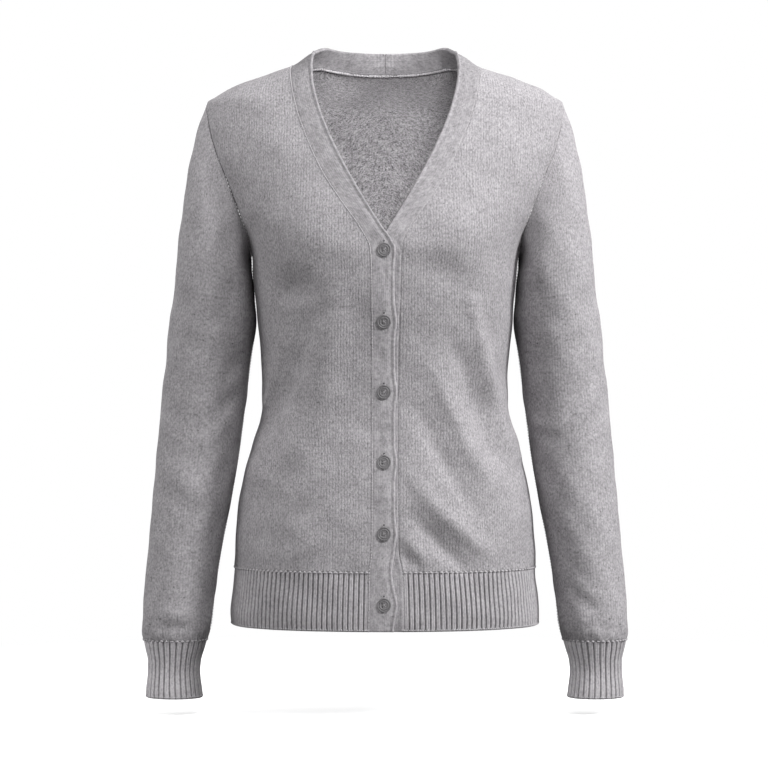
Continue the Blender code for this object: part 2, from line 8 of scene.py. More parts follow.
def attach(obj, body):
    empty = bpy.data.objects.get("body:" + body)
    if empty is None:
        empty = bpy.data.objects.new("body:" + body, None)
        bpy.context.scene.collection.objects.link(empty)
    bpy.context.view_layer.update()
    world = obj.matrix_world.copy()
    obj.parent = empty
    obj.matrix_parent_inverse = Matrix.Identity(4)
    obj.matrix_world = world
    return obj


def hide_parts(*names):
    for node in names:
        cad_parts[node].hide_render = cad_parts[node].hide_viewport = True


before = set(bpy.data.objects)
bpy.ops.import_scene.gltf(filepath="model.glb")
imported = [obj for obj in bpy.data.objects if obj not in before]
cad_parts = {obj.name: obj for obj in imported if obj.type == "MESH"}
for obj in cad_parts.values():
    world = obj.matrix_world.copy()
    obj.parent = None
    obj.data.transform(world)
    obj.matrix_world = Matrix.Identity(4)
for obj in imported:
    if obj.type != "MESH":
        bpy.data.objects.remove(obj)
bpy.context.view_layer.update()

# Lengths in the dictionaries are millimetres. The wearer's right is -X and the left is +X.
mm = 0.001
rightSide, leftSide = bothSides = (-1, 1)
sideWords = {rightSide: "Right", leftSide: "Left"}

cloth = {
    "knitThick": 2.0,
    "bandThick": 3.0,
    "ribThick": 2.6,
    "seamGap": 0.3,
    "gridStep": 2.1,      # between the points of a plain panel
    "edgeRows": (0.0, 0.3, 0.75, 1.4),    # distances of a panel's first rows from its edge
    "edgeRound": 0.8,     # radius that a panel's edge turns in with at a seam
    "ribEdgeRound": 1.4,
    "ribRise": 1.6,       # distance from an edge over which the ribs rise
}

heights = {
    "hem": -577.0,
    "hemRibTop": -518.0,
    "armpit": -197.0,
    "shoulderTip": -38.0,
    "top": 24.0,          # above the neck band
    "cuffTop": -592.0,
    "cuffBottom": -651.0,
}


# ---- curves and vectors ----

def smoothCurve(keys, values, at):
    # a monotone cubic through the values, so that it doesn't overshoot between them
    keys, values = np.asarray(keys, float), np.asarray(values, float)
    at = np.clip(np.asarray(at, float), keys[0], keys[-1])
    step = np.diff(keys)
    rise = np.diff(values) / step
    slope = np.zeros(len(keys))
    sameWay = rise[:-1] * rise[1:] > 0
    weight0, weight1 = 2 * step[1:] + step[:-1], step[1:] + 2 * step[:-1]
    inner = np.zeros(len(rise) - 1)
    below = weight0 / np.where(sameWay, rise[:-1], 1) + weight1 / np.where(sameWay, rise[1:], 1)
    np.divide(weight0 + weight1, below, out=inner, where=sameWay)
    slope[1:-1] = inner
    slope[0], slope[-1] = rise[0], rise[-1]
    index = np.clip(np.searchsorted(keys, at, side="right") - 1, 0, len(step) - 1)
    width = step[index]
    t = (at - keys[index]) / width
    return ((1 + 2 * t) * (1 - t) ** 2 * values[index] + t * (1 - t) ** 2 * width * slope[index]
            + t * t * (3 - 2 * t) * values[index + 1] - t * t * (1 - t) * width * slope[index + 1])


def column(form, name):
    return np.array([row[form["columns"].index(name)] for row in form["rows"]], float)


def readForm(form, name, at):
    return smoothCurve(column(form, form["columns"][0]), column(form, name), at)


def ease(value, start, end):
    t = np.clip((np.asarray(value, float) - start) / (end - start), 0, 1)
    return t * t * (3 - 2 * t)


def unit(vectors):
    return vectors / np.maximum(np.linalg.norm(vectors, axis=-1, keepdims=True), 1e-12)


def bell(value):
    return np.exp(-(value ** 2))


def between(first, last, share):
    return first + (last - first) * share


def runLength(points, axis=0):
    # distance along a line of points, or along each row or column of a grid
    step = np.linalg.norm(np.diff(points, axis=axis), axis=-1)
    start = np.zeros_like(np.take(step, [0], axis=axis))
    return np.concatenate([start, np.cumsum(step, axis=axis)], axis=axis)


# what is left of a fold at its ends, and how squarely it fades towards them
foldEnds = {"share": 0.25, "from": 0.02, "squareness": 0.6}


def foldRelief(place, folds, growing=False):
    # each fold is strongest in its middle and fades out towards both ends, or grows along its run
    left, start = foldEnds["share"], foldEnds["from"]
    relief = np.zeros(place.shape[:-1])
    for width, depth, *line in folds:
        line = np.array(line, float)
        reached = runLength(line)
        away, share = np.full(place.shape[:-1], np.inf), np.zeros(place.shape[:-1])
        for k in range(len(line) - 1):
            along = line[k + 1] - line[k]
            part = np.clip((place - line[k]) @ along / (along @ along), 0, 1)
            near = np.linalg.norm(place - line[k] - part[..., None] * along, axis=-1)
            run = (reached[k] + part * (reached[k + 1] - reached[k])) / reached[-1]
            share = np.where(near < away, run, share)
            away = np.minimum(away, near)
        middle = np.sin(np.clip(share, start, 1 - start) * pi) ** foldEnds["squareness"]
        fade = share if growing else left + (1 - left) * middle
        relief += depth * fade * bell(away / width)
    return relief


# ---- the torso ----

torso = {
    "columns": ("height", "halfWidth", "front", "back", "sideSeam", "squareness"),
    "rows": (
        (-577.0, 159.0, 115.5, 113.5, 0.0, 2.30),
        (-566.0, 159.4, 115.5, 113.5, 0.0, 2.30),
        (-552.0, 158.4, 114.5, 112.5, 0.0, 2.30),
        (-518.0, 155.2, 111.5, 110.0, 0.0, 2.30),
        (-493.0, 154.4, 110.0, 108.5, 0.0, 2.30),
        (-472.0, 153.4, 109.0, 107.0, 0.0, 2.30),
        (-451.0, 150.8, 107.0, 104.0, 0.0, 2.30),
        (-430.0, 147.0, 104.5, 100.0, 0.0, 2.30),
        (-410.0, 142.0, 101.5, 95.5, 0.0, 2.30),
        (-389.0, 136.5, 98.5, 91.0, 0.0, 2.30),
        (-368.0, 130.0, 96.0, 86.5, 0.0, 2.30),
        (-350.0, 126.4, 95.5, 84.0, 0.0, 2.30),
        (-316.0, 127.5, 97.0, 84.5, 0.0, 2.30),
        (-283.0, 130.0, 101.0, 87.0, 0.0, 2.30),
        (-247.0, 133.6, 107.5, 90.0, 0.0, 2.30),
        (-220.0, 135.6, 111.0, 91.5, 0.0, 2.30),
        (-197.0, 137.0, 111.5, 92.5, 0.0, 2.30),
        (-181.0, 143.0, 110.0, 93.0, 0.0, 2.25),
        (-161.0, 155.0, 107.0, 93.0, 1.0, 2.20),
        (-143.0, 165.0, 103.5, 92.5, 2.0, 2.15),
        (-119.0, 176.0, 97.0, 91.5, 3.0, 2.10),
        (-92.0, 184.5, 88.0, 89.5, 4.0, 2.10),
        (-67.0, 187.0, 77.0, 86.0, 6.0, 2.10),
        (-50.0, 186.5, 69.0, 83.4, 7.0, 2.10),
        (-38.0, 184.0, 63.5, 80.9, 8.0, 2.10),
        (-33.0, 177.0, 61.0, 79.6, 9.0, 2.10),
        (-25.0, 163.5, 57.0, 77.1, 10.0, 2.10),
        (-16.6, 143.0, 53.0, 74.0, 11.0, 2.15),
        (-8.3, 119.0, 49.0, 70.5, 11.5, 2.20),
        (0.0, 96.0, 45.0, 67.0, 12.0, 2.25),
        (8.0, 84.0, 42.0, 64.5, 12.0, 2.30),
        (16.5, 71.5, 40.0, 62.5, 12.0, 2.30),
        (24.0, 62.0, 38.0, 61.0, 12.0, 2.30),
    ),
}

# Soft ridges (+) and troughs (-) in the knit: width and relief, then the points that each runs
# through, as its distance from the centre line and its height.
torsoFolds = {
    "front": (
        (13, -2.4, (-106, -232), (-96, -238), (-84, -240)),
        (11, -3.8, (-83, -266), (-86, -292), (-92, -322), (-104, -350), (-120, -374), (-134, -396)),
        (15, 6.6, (-48, -250), (-51, -290), (-58, -332), (-72, -367), (-92, -394), (-116, -422)),
        (10, -1.6, (-40, -430), (-66, -452), (-98, -468)),
        (9, 1.4, (-60, -486), (-90, -498), (-120, -503)),
        (8, 6.4, (88, -250), (96, -284), (103, -318), (112, -350), (122, -378), (134, -404)),
        (10, -5.2, (68, -285), (81, -317), (91, -348), (102, -379), (113, -400), (128, -420)),
        (9, 5.0, (50, -318), (62, -346), (75, -378), (89, -406), (108, -432)),
        (10, -4.2, (36, -360), (51, -392), (68, -424), (91, -458)),
        (9, 4.8, (27, -423), (41, -442), (59, -462), (73, -475), (90, -490), (104, -501)),
        (8, -4.2, (27, -460), (43, -480), (59, -496), (75, -510), (84, -517)),
        (5, 2.0, (20, -482), (31, -496), (42, -510)),
        (5, -1.5, (15, -497), (24, -507), (31, -515)),
    ),
    # these grow from nothing at the first point to the full relief at the last
    "growing": (
        (11, 3.6, (-135, -426), (-123, -396), (-90, -361), (-72, -321), (-64, -276)),
        (3.6, 3.4, (-100, -238), (-104, -272), (-108, -300), (-115, -331), (-121, -350)),
    ),
    "back": (
        (18, -3.2, (-28, -322), (-52, -362), (-84, -420)),
        (14, 2.8, (-8, -352), (-36, -396), (-66, -452)),
        (16, -3.0, (34, -338), (60, -372), (92, -412)),
        (13, 2.6, (14, -368), (44, -410), (80, -446)),
        (12, -2.2, (-20, -420), (-48, -458), (-92, -486)),
        (10, 2.0, (18, -452), (52, -484), (94, -502)),
        (16, 3.0, (-72, -215), (-84, -250), (-96, -292)),
        (16, 3.0, (74, -225), (86, -256), (98, -296)),
        (12, -2.0, (-112, -232), (-104, -268), (-112, -318)),
        (12, -2.0, (110, -226), (116, -272), (108, -312)),
        (26, 1.8, (-52, -70), (-66, -120), (-62, -170)),
        (26, 1.8, (54, -74), (64, -124), (60, -168)),
    ),
}

# Broad rises and hollows of the front: distance from the centre line, height, width, tallness, relief.
frontMounds = (
    (-85, -178, 36, 36, 7.4),
    (78, -178, 42, 36, 8.0),
    (-92, -231, 18, 16, -4.8),
    (50, -220, 34, 20, -3.0),
    (-84, -262, 34, 26, -1.6),
    (84, -262, 34, 26, -1.4),
)

# The uneven surface that no knit lies without: waves as (across, up, phase, relief).
ripples = (
    (58.0, 91.0, 0.4, 0.30),
    (-43.0, 67.0, 2.1, 0.25),
    (31.0, -52.0, 4.0, 0.16),
    (88.0, 38.0, 5.2, 0.20),
)

# cosines of the turn from the front over which the front's relief takes over from the back's
frontFrom, frontTo = -0.05, 0.25


def torsoBase(angle, height):
    angle, height = np.broadcast_arrays(np.asarray(angle, float), np.asarray(height, float))
    halfWidth, front, behind, sideSeam, power = (
        readForm(torso, name, height) for name in torso["columns"][1:]
    )
    sine, cosine = np.sin(angle), np.cos(angle)
    reach = (np.abs(sine) ** power + np.abs(cosine) ** power) ** (-1 / power)
    depth = np.where(cosine > 0, front + sideSeam, behind - sideSeam)
    return np.stack([halfWidth * reach * sine, sideSeam - depth * reach * cosine, height], -1)


def torsoNormal(angle, height):
    turn, rise = 1e-3, 0.2
    roundIt = torsoBase(angle + turn, height) - torsoBase(angle - turn, height)
    up = torsoBase(angle, height + rise) - torsoBase(angle, height - rise)
    return unit(np.cross(roundIt, up))


def torsoRelief(points, angle):
    onFront = ease(np.cos(angle), frontFrom, frontTo)
    place = points[..., [0, 2]]
    relief = foldRelief(place, torsoFolds["front"]) + foldRelief(place, torsoFolds["growing"], True)
    for x, z, wide, tall, depth in frontMounds:
        relief += depth * np.exp(-(((place[..., 0] - x) / wide) ** 2 + ((place[..., 1] - z) / tall) ** 2))
    relief *= onFront
    relief += foldRelief(place, torsoFolds["back"]) * (1 - onFront)
    for across, up, phase, depth in ripples:
        relief += depth * np.sin(place[..., 0] / across * 2 * pi + place[..., 1] / up * 2 * pi + phase)
    return relief


# The ribs of the hem and the cuffs. Widths are shares of the pitch.
rib = {
    "pitch": 5.3,
    "relief": 2.0,
    "grooveWidth": 0.135,
    "middleRelief": 0.32,    # of the line down the middle of each rib
    "middleWidth": 0.07,
    "points": 10,            # round each rib
    "rows": ((0, 0.006, 0.018, 0.035), 0.06, 0.985, 17, (0.995, 1.0)),
    # painted shade in the grooves: how much it darkens them, and over what width
    "shade": 0.5,            # how much darker the grooves are
    "paintedShadeWidth": 0.13,
}

# The knit puckers where the narrower rib draws it in: relief and reach of the close and the wide
# puckers, the length of a wide one, and how far and over what length they stray and vary.
gathers = {
    "close": (0.5, 7.0),
    "wide": (0.55, 16.0),
    "wave": 13.0,
    "stray": (1.9, 31.0),
    "vary": (0.4, 19.0),
    "riseOver": 2.0,
}


def gatherRelief(across, above):
    (closeDepth, closeReach), (wideDepth, wideReach) = gathers["close"], gathers["wide"]
    (stray, strayOver), (vary, varyOver) = gathers["stray"], gathers["vary"]
    close = closeDepth * np.sin(across / rib["pitch"] * 2 * pi) * bell(above / closeReach)
    bent = across / gathers["wave"] * 2 * pi + stray * np.sin(across / strayOver)
    uneven = 1 - vary + vary * np.sin(across / varyOver)
    wide = wideDepth * np.sin(bent) * uneven * bell(above / wideReach)
    return (close + wide) * ease(above, 0.0, gathers["riseOver"])


def torsoPoints(angle, height, offset=0.0):
    angle, height = np.broadcast_arrays(np.asarray(angle, float), np.asarray(height, float))
    base = torsoBase(angle, height)
    return base + torsoNormal(angle, height) * (torsoRelief(base, angle) + offset)[..., None]


def angleAt(x, height):
    power = readForm(torso, "squareness", height)
    share = np.clip(np.abs(x) / readForm(torso, "halfWidth", height), 0, 1) ** power
    return np.sign(x) * np.arctan2(share ** (1 / power), (1 - share) ** (1 / power))


# how far each half of the armhole is scooped out, in degrees, and how much more of it lies low down
armholes = {"front": (24.0, 0.16), "back": (22.0, 0.10)}


def armholeEdge(turn, face):
    # turn runs from 0 at the shoulder tip to pi at the armpit
    middle = (heights["shoulderTip"] + heights["armpit"]) / 2
    half = (heights["shoulderTip"] - heights["armpit"]) / 2
    degrees, lean = armholes[face]
    scooped = np.radians(degrees) * np.sin(turn) * (1 - lean * np.cos(turn))
    return pi / 2 - scooped, middle + half * np.cos(turn)


# ---- where the wales and courses of the torso lie ----

mapSteps = {"turns": 361, "levels": 301, "wales": 200}


def knitMap():
    angles = np.linspace(0, pi, mapSteps["turns"])
    levels = np.linspace(heights["hem"], heights["top"], mapSteps["levels"])
    grid = torsoBase(angles[None], levels[:, None])
    across = runLength(grid, 1)
    wales = np.linspace(0, across.max(), mapSteps["wales"])
    lines = np.array([[np.interp(wales, across[i], grid[i, :, k]) for k in range(3)]
                      for i in range(len(levels))]).transpose(0, 2, 1)
    along = runLength(lines, 0)
    return angles, levels, across, wales, along


def lookUp(table, rowKeys, columnKeys, row, key):
    # the table's value between its rows and columns
    i = np.clip(np.interp(row, rowKeys, np.arange(len(rowKeys))), 0, len(rowKeys) - 1.001)
    k = np.clip(np.interp(key, columnKeys, np.arange(len(columnKeys))), 0, len(columnKeys) - 1.001)
    i0, k0 = i.astype(int), k.astype(int)
    i, k = i - i0, k - k0
    return ((table[i0, k0] * (1 - i) + table[i0 + 1, k0] * i) * (1 - k)
            + (table[i0, k0 + 1] * (1 - i) + table[i0 + 1, k0 + 1] * i) * k)


torsoMap = knitMap()


def torsoPlaces(angle, height, fromBack=False):
    # across and along the knit, in millimetres
    angles, levels, across, wales, along = torsoMap
    turn = np.abs(angle)
    turn = np.where(turn > pi, 2 * pi - turn, turn)
    side = np.where(np.abs(angle) > pi, -np.sign(angle), np.sign(angle))
    u = lookUp(across, levels, angles, height, turn)
    v = lookUp(along, levels, wales, height, u)
    if fromBack:
        u = u - lookUp(across, levels, angles, height, np.full_like(turn, pi))
    return u * side, v


# ---- walls of cloth ----

def edgeSteps(length):
    # shares of a length, close together at both ends where the edge turns in
    near = np.array(cloth["edgeRows"]) / length
    count = max(3, round(length / cloth["gridStep"]))
    middle = np.linspace(near[-1], 1 - near[-1], count)
    return np.concatenate([near[:-1], middle, 1 - near[-2::-1]])


def pullIn(points, sides):
    # draws the named borders of a grid in by half a seam's gap
    points = points.copy()
    turned = points.swapaxes(0, 1)
    for side in sides:
        grid = points if side in ("bottom", "top") else turned
        edge, inside = (0, 1) if side in ("bottom", "first") else (-1, -2)
        grid[edge] += unit(grid[inside] - grid[edge]) * cloth["seamGap"] / 2
    return points


def edgeDistance(points, tube=False):
    # how far each point of a grid is from the nearest edge of its piece
    along = runLength(points, 0)
    away = np.minimum(along, along[-1:] - along)
    if not tube:
        across = runLength(points, 1)
        away = np.minimum(away, np.minimum(across, across[:, -1:] - across))
    return away


def turnedIn(away, thick, radius):
    # how far below the outer face a rounded edge lies
    share = np.clip(1 - away / radius, 0, 1)
    return thick / 2 * (1 - np.sqrt(np.maximum(1 - share ** 2, 0)))


def closeRing(grid):
    return np.concatenate([grid, grid[:, :1]], 1)


def mirrored(grid, side):
    return grid * np.array([side, 1, 1])


def addObject(name, data):
    piece = bpy.data.objects.new(name, data)
    bpy.context.scene.collection.objects.link(piece)
    return piece


def clothShell(name, base, normal, thick, inwards, across, along, materials, relief=0.0, lining=0.0,
               tubeSide=None):
    # A closed shell that meets at its borders. The relief is added outside and the lining inside.
    # The last column of a tube repeats its first.
    outer = base + normal * (relief - inwards)[..., None]
    inner = base - normal * (thick - inwards + lining)[..., None]
    tube = tubeSide is not None
    if tube:
        outer, inner = (mirrored(closeRing(grid), tubeSide) for grid in (outer, inner))
    rows, columns = outer.shape[:2]
    index = np.arange(rows * columns).reshape(rows, columns)
    inside = index + rows * columns
    if tube:
        index[:, -1] = index[:, 0]
        inside[:, -1] = inside[:, 0]
    else:
        inside[:, 0], inside[:, -1] = index[:, 0], index[:, -1]
    inside[0], inside[-1] = index[0], index[-1]

    def quads(grid):
        return np.stack([grid[:-1, :-1], grid[:-1, 1:], grid[1:, 1:], grid[1:, :-1]], -1).reshape(-1, 4)

    places = np.arange(rows * columns).reshape(rows, columns)
    faces = np.concatenate([quads(index), quads(inside)[:, ::-1]])
    corners = np.concatenate([quads(places), quads(places)[:, ::-1]])
    points = np.concatenate([outer.reshape(-1, 3), inner.reshape(-1, 3)])
    a, b, c, d = (points[faces[:, k]] for k in range(4))
    volume = (a * np.cross(b, c)).sum() + (a * np.cross(c, d)).sum()
    if volume < 0:
        faces, corners = faces[:, ::-1], corners[:, ::-1]
    used, faces = np.unique(faces, return_inverse=True)
    faces = faces.reshape(-1, 4)
    data = bpy.data.meshes.new(name)
    data.from_pydata(points[used] * mm, [], faces)
    layer = data.uv_layers.new(name="knit")
    uv = np.stack([across.ravel()[corners], along.ravel()[corners]], -1) * mm
    layer.data.foreach_set("uv", uv.astype(np.float32).ravel())
    for material in materials:
        data.materials.append(material)
    if len(materials) > 1:
        side = np.repeat([0, 1], len(faces) // 2).astype(np.int32)
        data.polygons.foreach_set("material_index", side)
    data.shade_smooth()
    data.validate()
    piece = addObject(name, data)
    piece["flat"] = [float(np.ptp(across)) * mm, float(np.ptp(along)) * mm]
    piece["flatArea"] = float(shoelace(uv[: len(faces) // 2]))
    return piece


def shoelace(corners):
    x, y = corners[..., 0], corners[..., 1]
    return np.abs((x * np.roll(y, -1, 1) - y * np.roll(x, -1, 1)).sum(1)).sum() / 2


def torsoPanel(name, angle, height, fromBack=False):
    base = pullIn(torsoPoints(angle, height), ("bottom", "top", "first", "last"))
    normal = torsoNormal(angle, height)
    thick = cloth["knitThick"]
    inwards = turnedIn(edgeDistance(base), thick, cloth["edgeRound"])
    across, along = torsoPlaces(angle, height, fromBack)
    base = base + normal * gatherRelief(across, height - heights["hemRibTop"])[..., None]
    return clothShell(name, base, normal, thick, inwards, across, along, (knitFace, knitReverse))


def finishPiece(piece, nodes):
    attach(piece, "root")
    if nodes:
        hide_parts(*nodes)
    return piece


# ---- yarn: rows of stitches and cords ----

def meshPiece(name, parts, material):
    # joins arrays of (points in millimetres, faces) into one mesh
    points, faces, start = [], [], 0
    for part, polygons in parts:
        points.append(part)
        faces.append(polygons + start)
        start += len(part)
    data = bpy.data.meshes.new(name)
    data.from_pydata(np.concatenate(points) * mm, [], [list(face) for part in faces for face in part])
    data.materials.append(material)
    data.shade_smooth()
    data.validate()
    return addObject(name, data)


def beadShape():
    # one plump stitch of unit size, with few faces because it is repeated many times
    bpy.ops.object.select_all(action="DESELECT")
    bpy.ops.mesh.primitive_cube_add(size=1)
    shape = bpy.context.object
    rounder = shape.modifiers.new("round", "SUBSURF")
    rounder.levels = rounder.render_levels = 1
    bpy.ops.object.modifier_apply(modifier="round")
    points = np.array([vertex.co for vertex in shape.data.vertices])
    faces = np.array([list(face.vertices) for face in shape.data.polygons])
    bpy.data.objects.remove(shape)
    return points / np.abs(points).max(), faces


bead = beadShape()


def resample(points, spacing):
    length = runLength(points)
    count = max(2, round(length[-1] / spacing))
    at = (np.arange(count) + 0.5) / count * length[-1]
    return np.stack([np.interp(at, length, points[:, k]) for k in range(3)], -1), at, length


def stitchRow(points, normals, spacing, size, lean=0.0, lift=0.0, uneven=0.12, seed=1):
    # size is a stitch's half length, half width and half height
    places, at, length = resample(points, spacing)
    out = unit(np.stack([np.interp(at, length, normals[:, k]) for k in range(3)], -1))
    along = unit(np.gradient(places, axis=0))
    out = unit(out - along * (out * along).sum(-1, keepdims=True))
    cross = np.cross(out, along)
    turn = radians(lean)
    long = along * np.cos(turn) + cross * np.sin(turn)
    wide = np.cross(out, long)
    random = np.random.default_rng(seed)
    grow = 1 + uneven * random.uniform(-1, 1, (len(places), 3))
    frames = np.stack([way * size[k] * grow[:, k:k + 1] for k, way in enumerate((long, wide, out))], 1)
    stitches = bead[0] @ frames + (places + out * lift)[:, None]
    count = len(bead[0])
    faces = (bead[1][None] + np.arange(len(places))[:, None, None] * count).reshape(-1, 4)
    return stitches.reshape(-1, 3), faces


cordEndRise = 0.15


def cordAlong(points, normals, radius, sides=8, closed=False):
    if closed:
        points, normals = closeLine(points), closeLine(normals)
    along = unit(np.gradient(points, axis=0))
    if closed:
        along[0] = along[-1] = unit(points[1] - points[-2])
    out = unit(normals - along * (normals * along).sum(-1, keepdims=True))
    cross = np.cross(along, out)
    turns = np.linspace(0, 2 * pi, sides, endpoint=False)
    ring = out[:, None] * np.cos(turns)[:, None] + cross[:, None] * np.sin(turns)[:, None]
    tube = points[:, None] + ring * radius
    if closed:
        tube = tube[:-1]
    rows = len(tube)
    index = np.arange(rows * sides).reshape(rows, sides)
    around = np.roll(index, -1, 1)
    if closed:
        below, belowAround = np.roll(index, -1, 0), np.roll(around, -1, 0)
    else:
        index, around, below, belowAround = index[:-1], around[:-1], index[1:], around[1:]
    faces = np.stack([index, around, belowAround, below], -1).reshape(-1, 4)
    parts = [(tube.reshape(-1, 3), faces)]
    return parts if closed else parts + [capFan(tube[0], -along[0]), capFan(tube[-1], along[-1])]


def capFan(ring, way):
    middle = ring.mean(0) + way * cordEndRise
    sides = len(ring)
    points = np.concatenate([ring, middle[None]])
    facing = np.dot(np.cross(ring[1] - ring[0], ring[2] - ring[1]), way)
    faces = np.array([[k, (k + 1) % sides, sides] for k in range(sides)])
    return points, faces if facing > 0 else faces[:, ::-1]


def closeLine(values):
    return np.concatenate([values, values[:1]])


# ---- materials ----

def startMaterial(name):
    material = bpy.data.materials.new(name)
    material.use_nodes = True
    tree = material.node_tree

    def node(kind, **settings):
        made = tree.nodes.new(kind)
        for key, value in settings.items():
            setattr(made, key, value)
        return made

    def join(source, target):
        if isinstance(source, bpy.types.NodeSocket):
            tree.links.new(source, target)
        else:
            target.default_value = source

    def sums(operation, *values):
        made = node("ShaderNodeMath", operation=operation)
        for value, socket in zip(values, made.inputs):
            join(value, socket)
        return made.outputs[0]

    return material, tree.nodes["Principled BSDF"], (node, join, sums)


noiseRoughness = 0.55
noiseShift = (1.0, 0.7, 0.3)    # the way that a shift moves a noise, so that no two are alike


def noiseOf(tools, vector, size, tall=1.0, detail=2.0, shift=0.0):
    # size is a speck's width in millimetres, and tall is how many times longer it is up the cloth
    node, join, _ = tools
    place = node("ShaderNodeMapping")
    join(vector, place.inputs["Vector"])
    place.inputs["Location"].default_value = [shift * share for share in noiseShift]
    place.inputs["Scale"].default_value = (1 / (size * mm), 1 / (size * tall * mm), 1 / (size * mm))
    noise = node("ShaderNodeTexNoise", noise_dimensions="3D")
    join(place.outputs[0], noise.inputs["Vector"])
    noise.inputs["Scale"].default_value = 1.0
    noise.inputs["Detail"].default_value = detail
    noise.inputs["Roughness"].default_value = noiseRoughness
    return noise.outputs["Fac"]


def bumpOf(tools, height, shader, strength, relief):
    node, join, _ = tools
    bump = node("ShaderNodeBump")
    bump.inputs["Strength"].default_value = strength
    bump.inputs["Distance"].default_value = relief * mm
    join(height, bump.inputs["Height"])
    join(bump.outputs[0], shader.inputs["Normal"])


def rampOf(tools, source, shader, dark, light, start=0.0, end=1.0):
    # runs the colour from dark to light between two levels of the source
    node, join, _ = tools
    ramp = node("ShaderNodeValToRGB")
    for element, colour, position in zip(ramp.color_ramp.elements, (dark, light), (start, end)):
        element.color = (*colour, 1)
        element.position = position
    join(source, ramp.inputs[0])
    join(ramp.outputs[0], shader.inputs["Base Color"])


greyMarl = (0.3230, 0.3105, 0.3230)

# Wale and course are a stitch's width and height. The shares say how much each kind of mark
# lightens or darkens the yarn.
plainKnit = {
    "colour": greyMarl,
    "wale": 2.95,
    "course": 2.15,
    "lean": 0.9,
    "relief": 0.23,
    "lines": 0.10,
    "legShare": 0.24,
    "grain": (1.3, 2.0, 1.30),        # width, how many times taller, share
    "blotch": (4.4, 1.5, 0.45),
    "cloud": (15.0, 1.2, 0.20),
    "fleck": (2.6, 0.5, 2.4),
    "fleckLevel": 0.36,
    "sheen": (0.30, 0.29, 0.30),
}
sleeveLook = dict(plainKnit, relief=0.18, lines=0.06, legShare=0.16, grain=(2.1, 1.3, 1.15),
                  blotch=(5.0, 1.1, 0.6), fleck=(3.2, 0.6, 2.8))
reverseKnit = dict(plainKnit, lines=0.02, legShare=0.20, relief=0.14, grain=(1.8, 0.8, 2.9),
                   blotch=(4.4, 0.9, 1.5), fleck=(3.0, 0.5, 2.6))
bandLook = dict(plainKnit, wale=1.9, course=1.5, relief=0.12, lines=0.04, legShare=0.06,
                grain=(2.0, 1.4, 1.0), blotch=(5.0, 1.5, 0.8), fleck=(2.6, 0.7, 2.0))
ribLook = dict(plainKnit, colour=(0.375, 0.361, 0.375), wale=2.65, course=2.0, relief=0.16, lines=0.04,
               legShare=0.10, grain=(1.6, 2.0, 0.9), blotch=(3.8, 2.2, 0.40), fleck=(2.4, 1.2, 1.2))
# The seam yarn's colour, lighter than the knit's own grey, is a painted highlight on the raised stitches of
# the seams, rib tops and buttonhole edges. The crease and button yarns below set their own colours.
yarnLook = dict(plainKnit, colour=(0.40, 0.386, 0.40), wale=0.9, course=0.9, relief=0.10, lines=0.05,
                legShare=0.0, grain=(0.9, 1.0, 0.6), blotch=(2.5, 1.0, 0.3), fleck=(2.4, 1.0, 0.0))

# what all the knits share
knitBuild = {
    # noise that bends the wales and courses: width, times taller, shift, and how many stitches it moves them
    "waleDrift": (11.0, 2.0, 0.0, 1.1),
    "courseDrift": (14.0, 0.6, 3.1, 1.3),
    # heights of a stitch's parts on the face, and then on the reverse
    "legLoop": 0.16,
    "legHeight": 0.45,
    "waleHeight": 0.55,
    "reverseBow": 0.25,
    "reverseLoop": 0.5,
    "reverseWale": 0.2,
    "markShift": 7.3,
    "fleckShift": 31.0,
    # the light lines between the wales show in places only: noise as above, and their least share
    "clear": (24.0, 1.5, 50.0, 2.4),
    "leastClear": 0.2,
    "lineLevel": 0.62,
    "darkest": 0.25,
    "fibre": 0.7,
    "fibreShift": 90.0,
    "fibreHeight": 0.5,
    "grainHeight": 0.9,
    "roughness": (0.84, 0.12),    # at its least, and what the fibres add
    "specular": 0.10,
    "sheenWeight": 0.10,
    "sheenRoughness": 0.5,
}


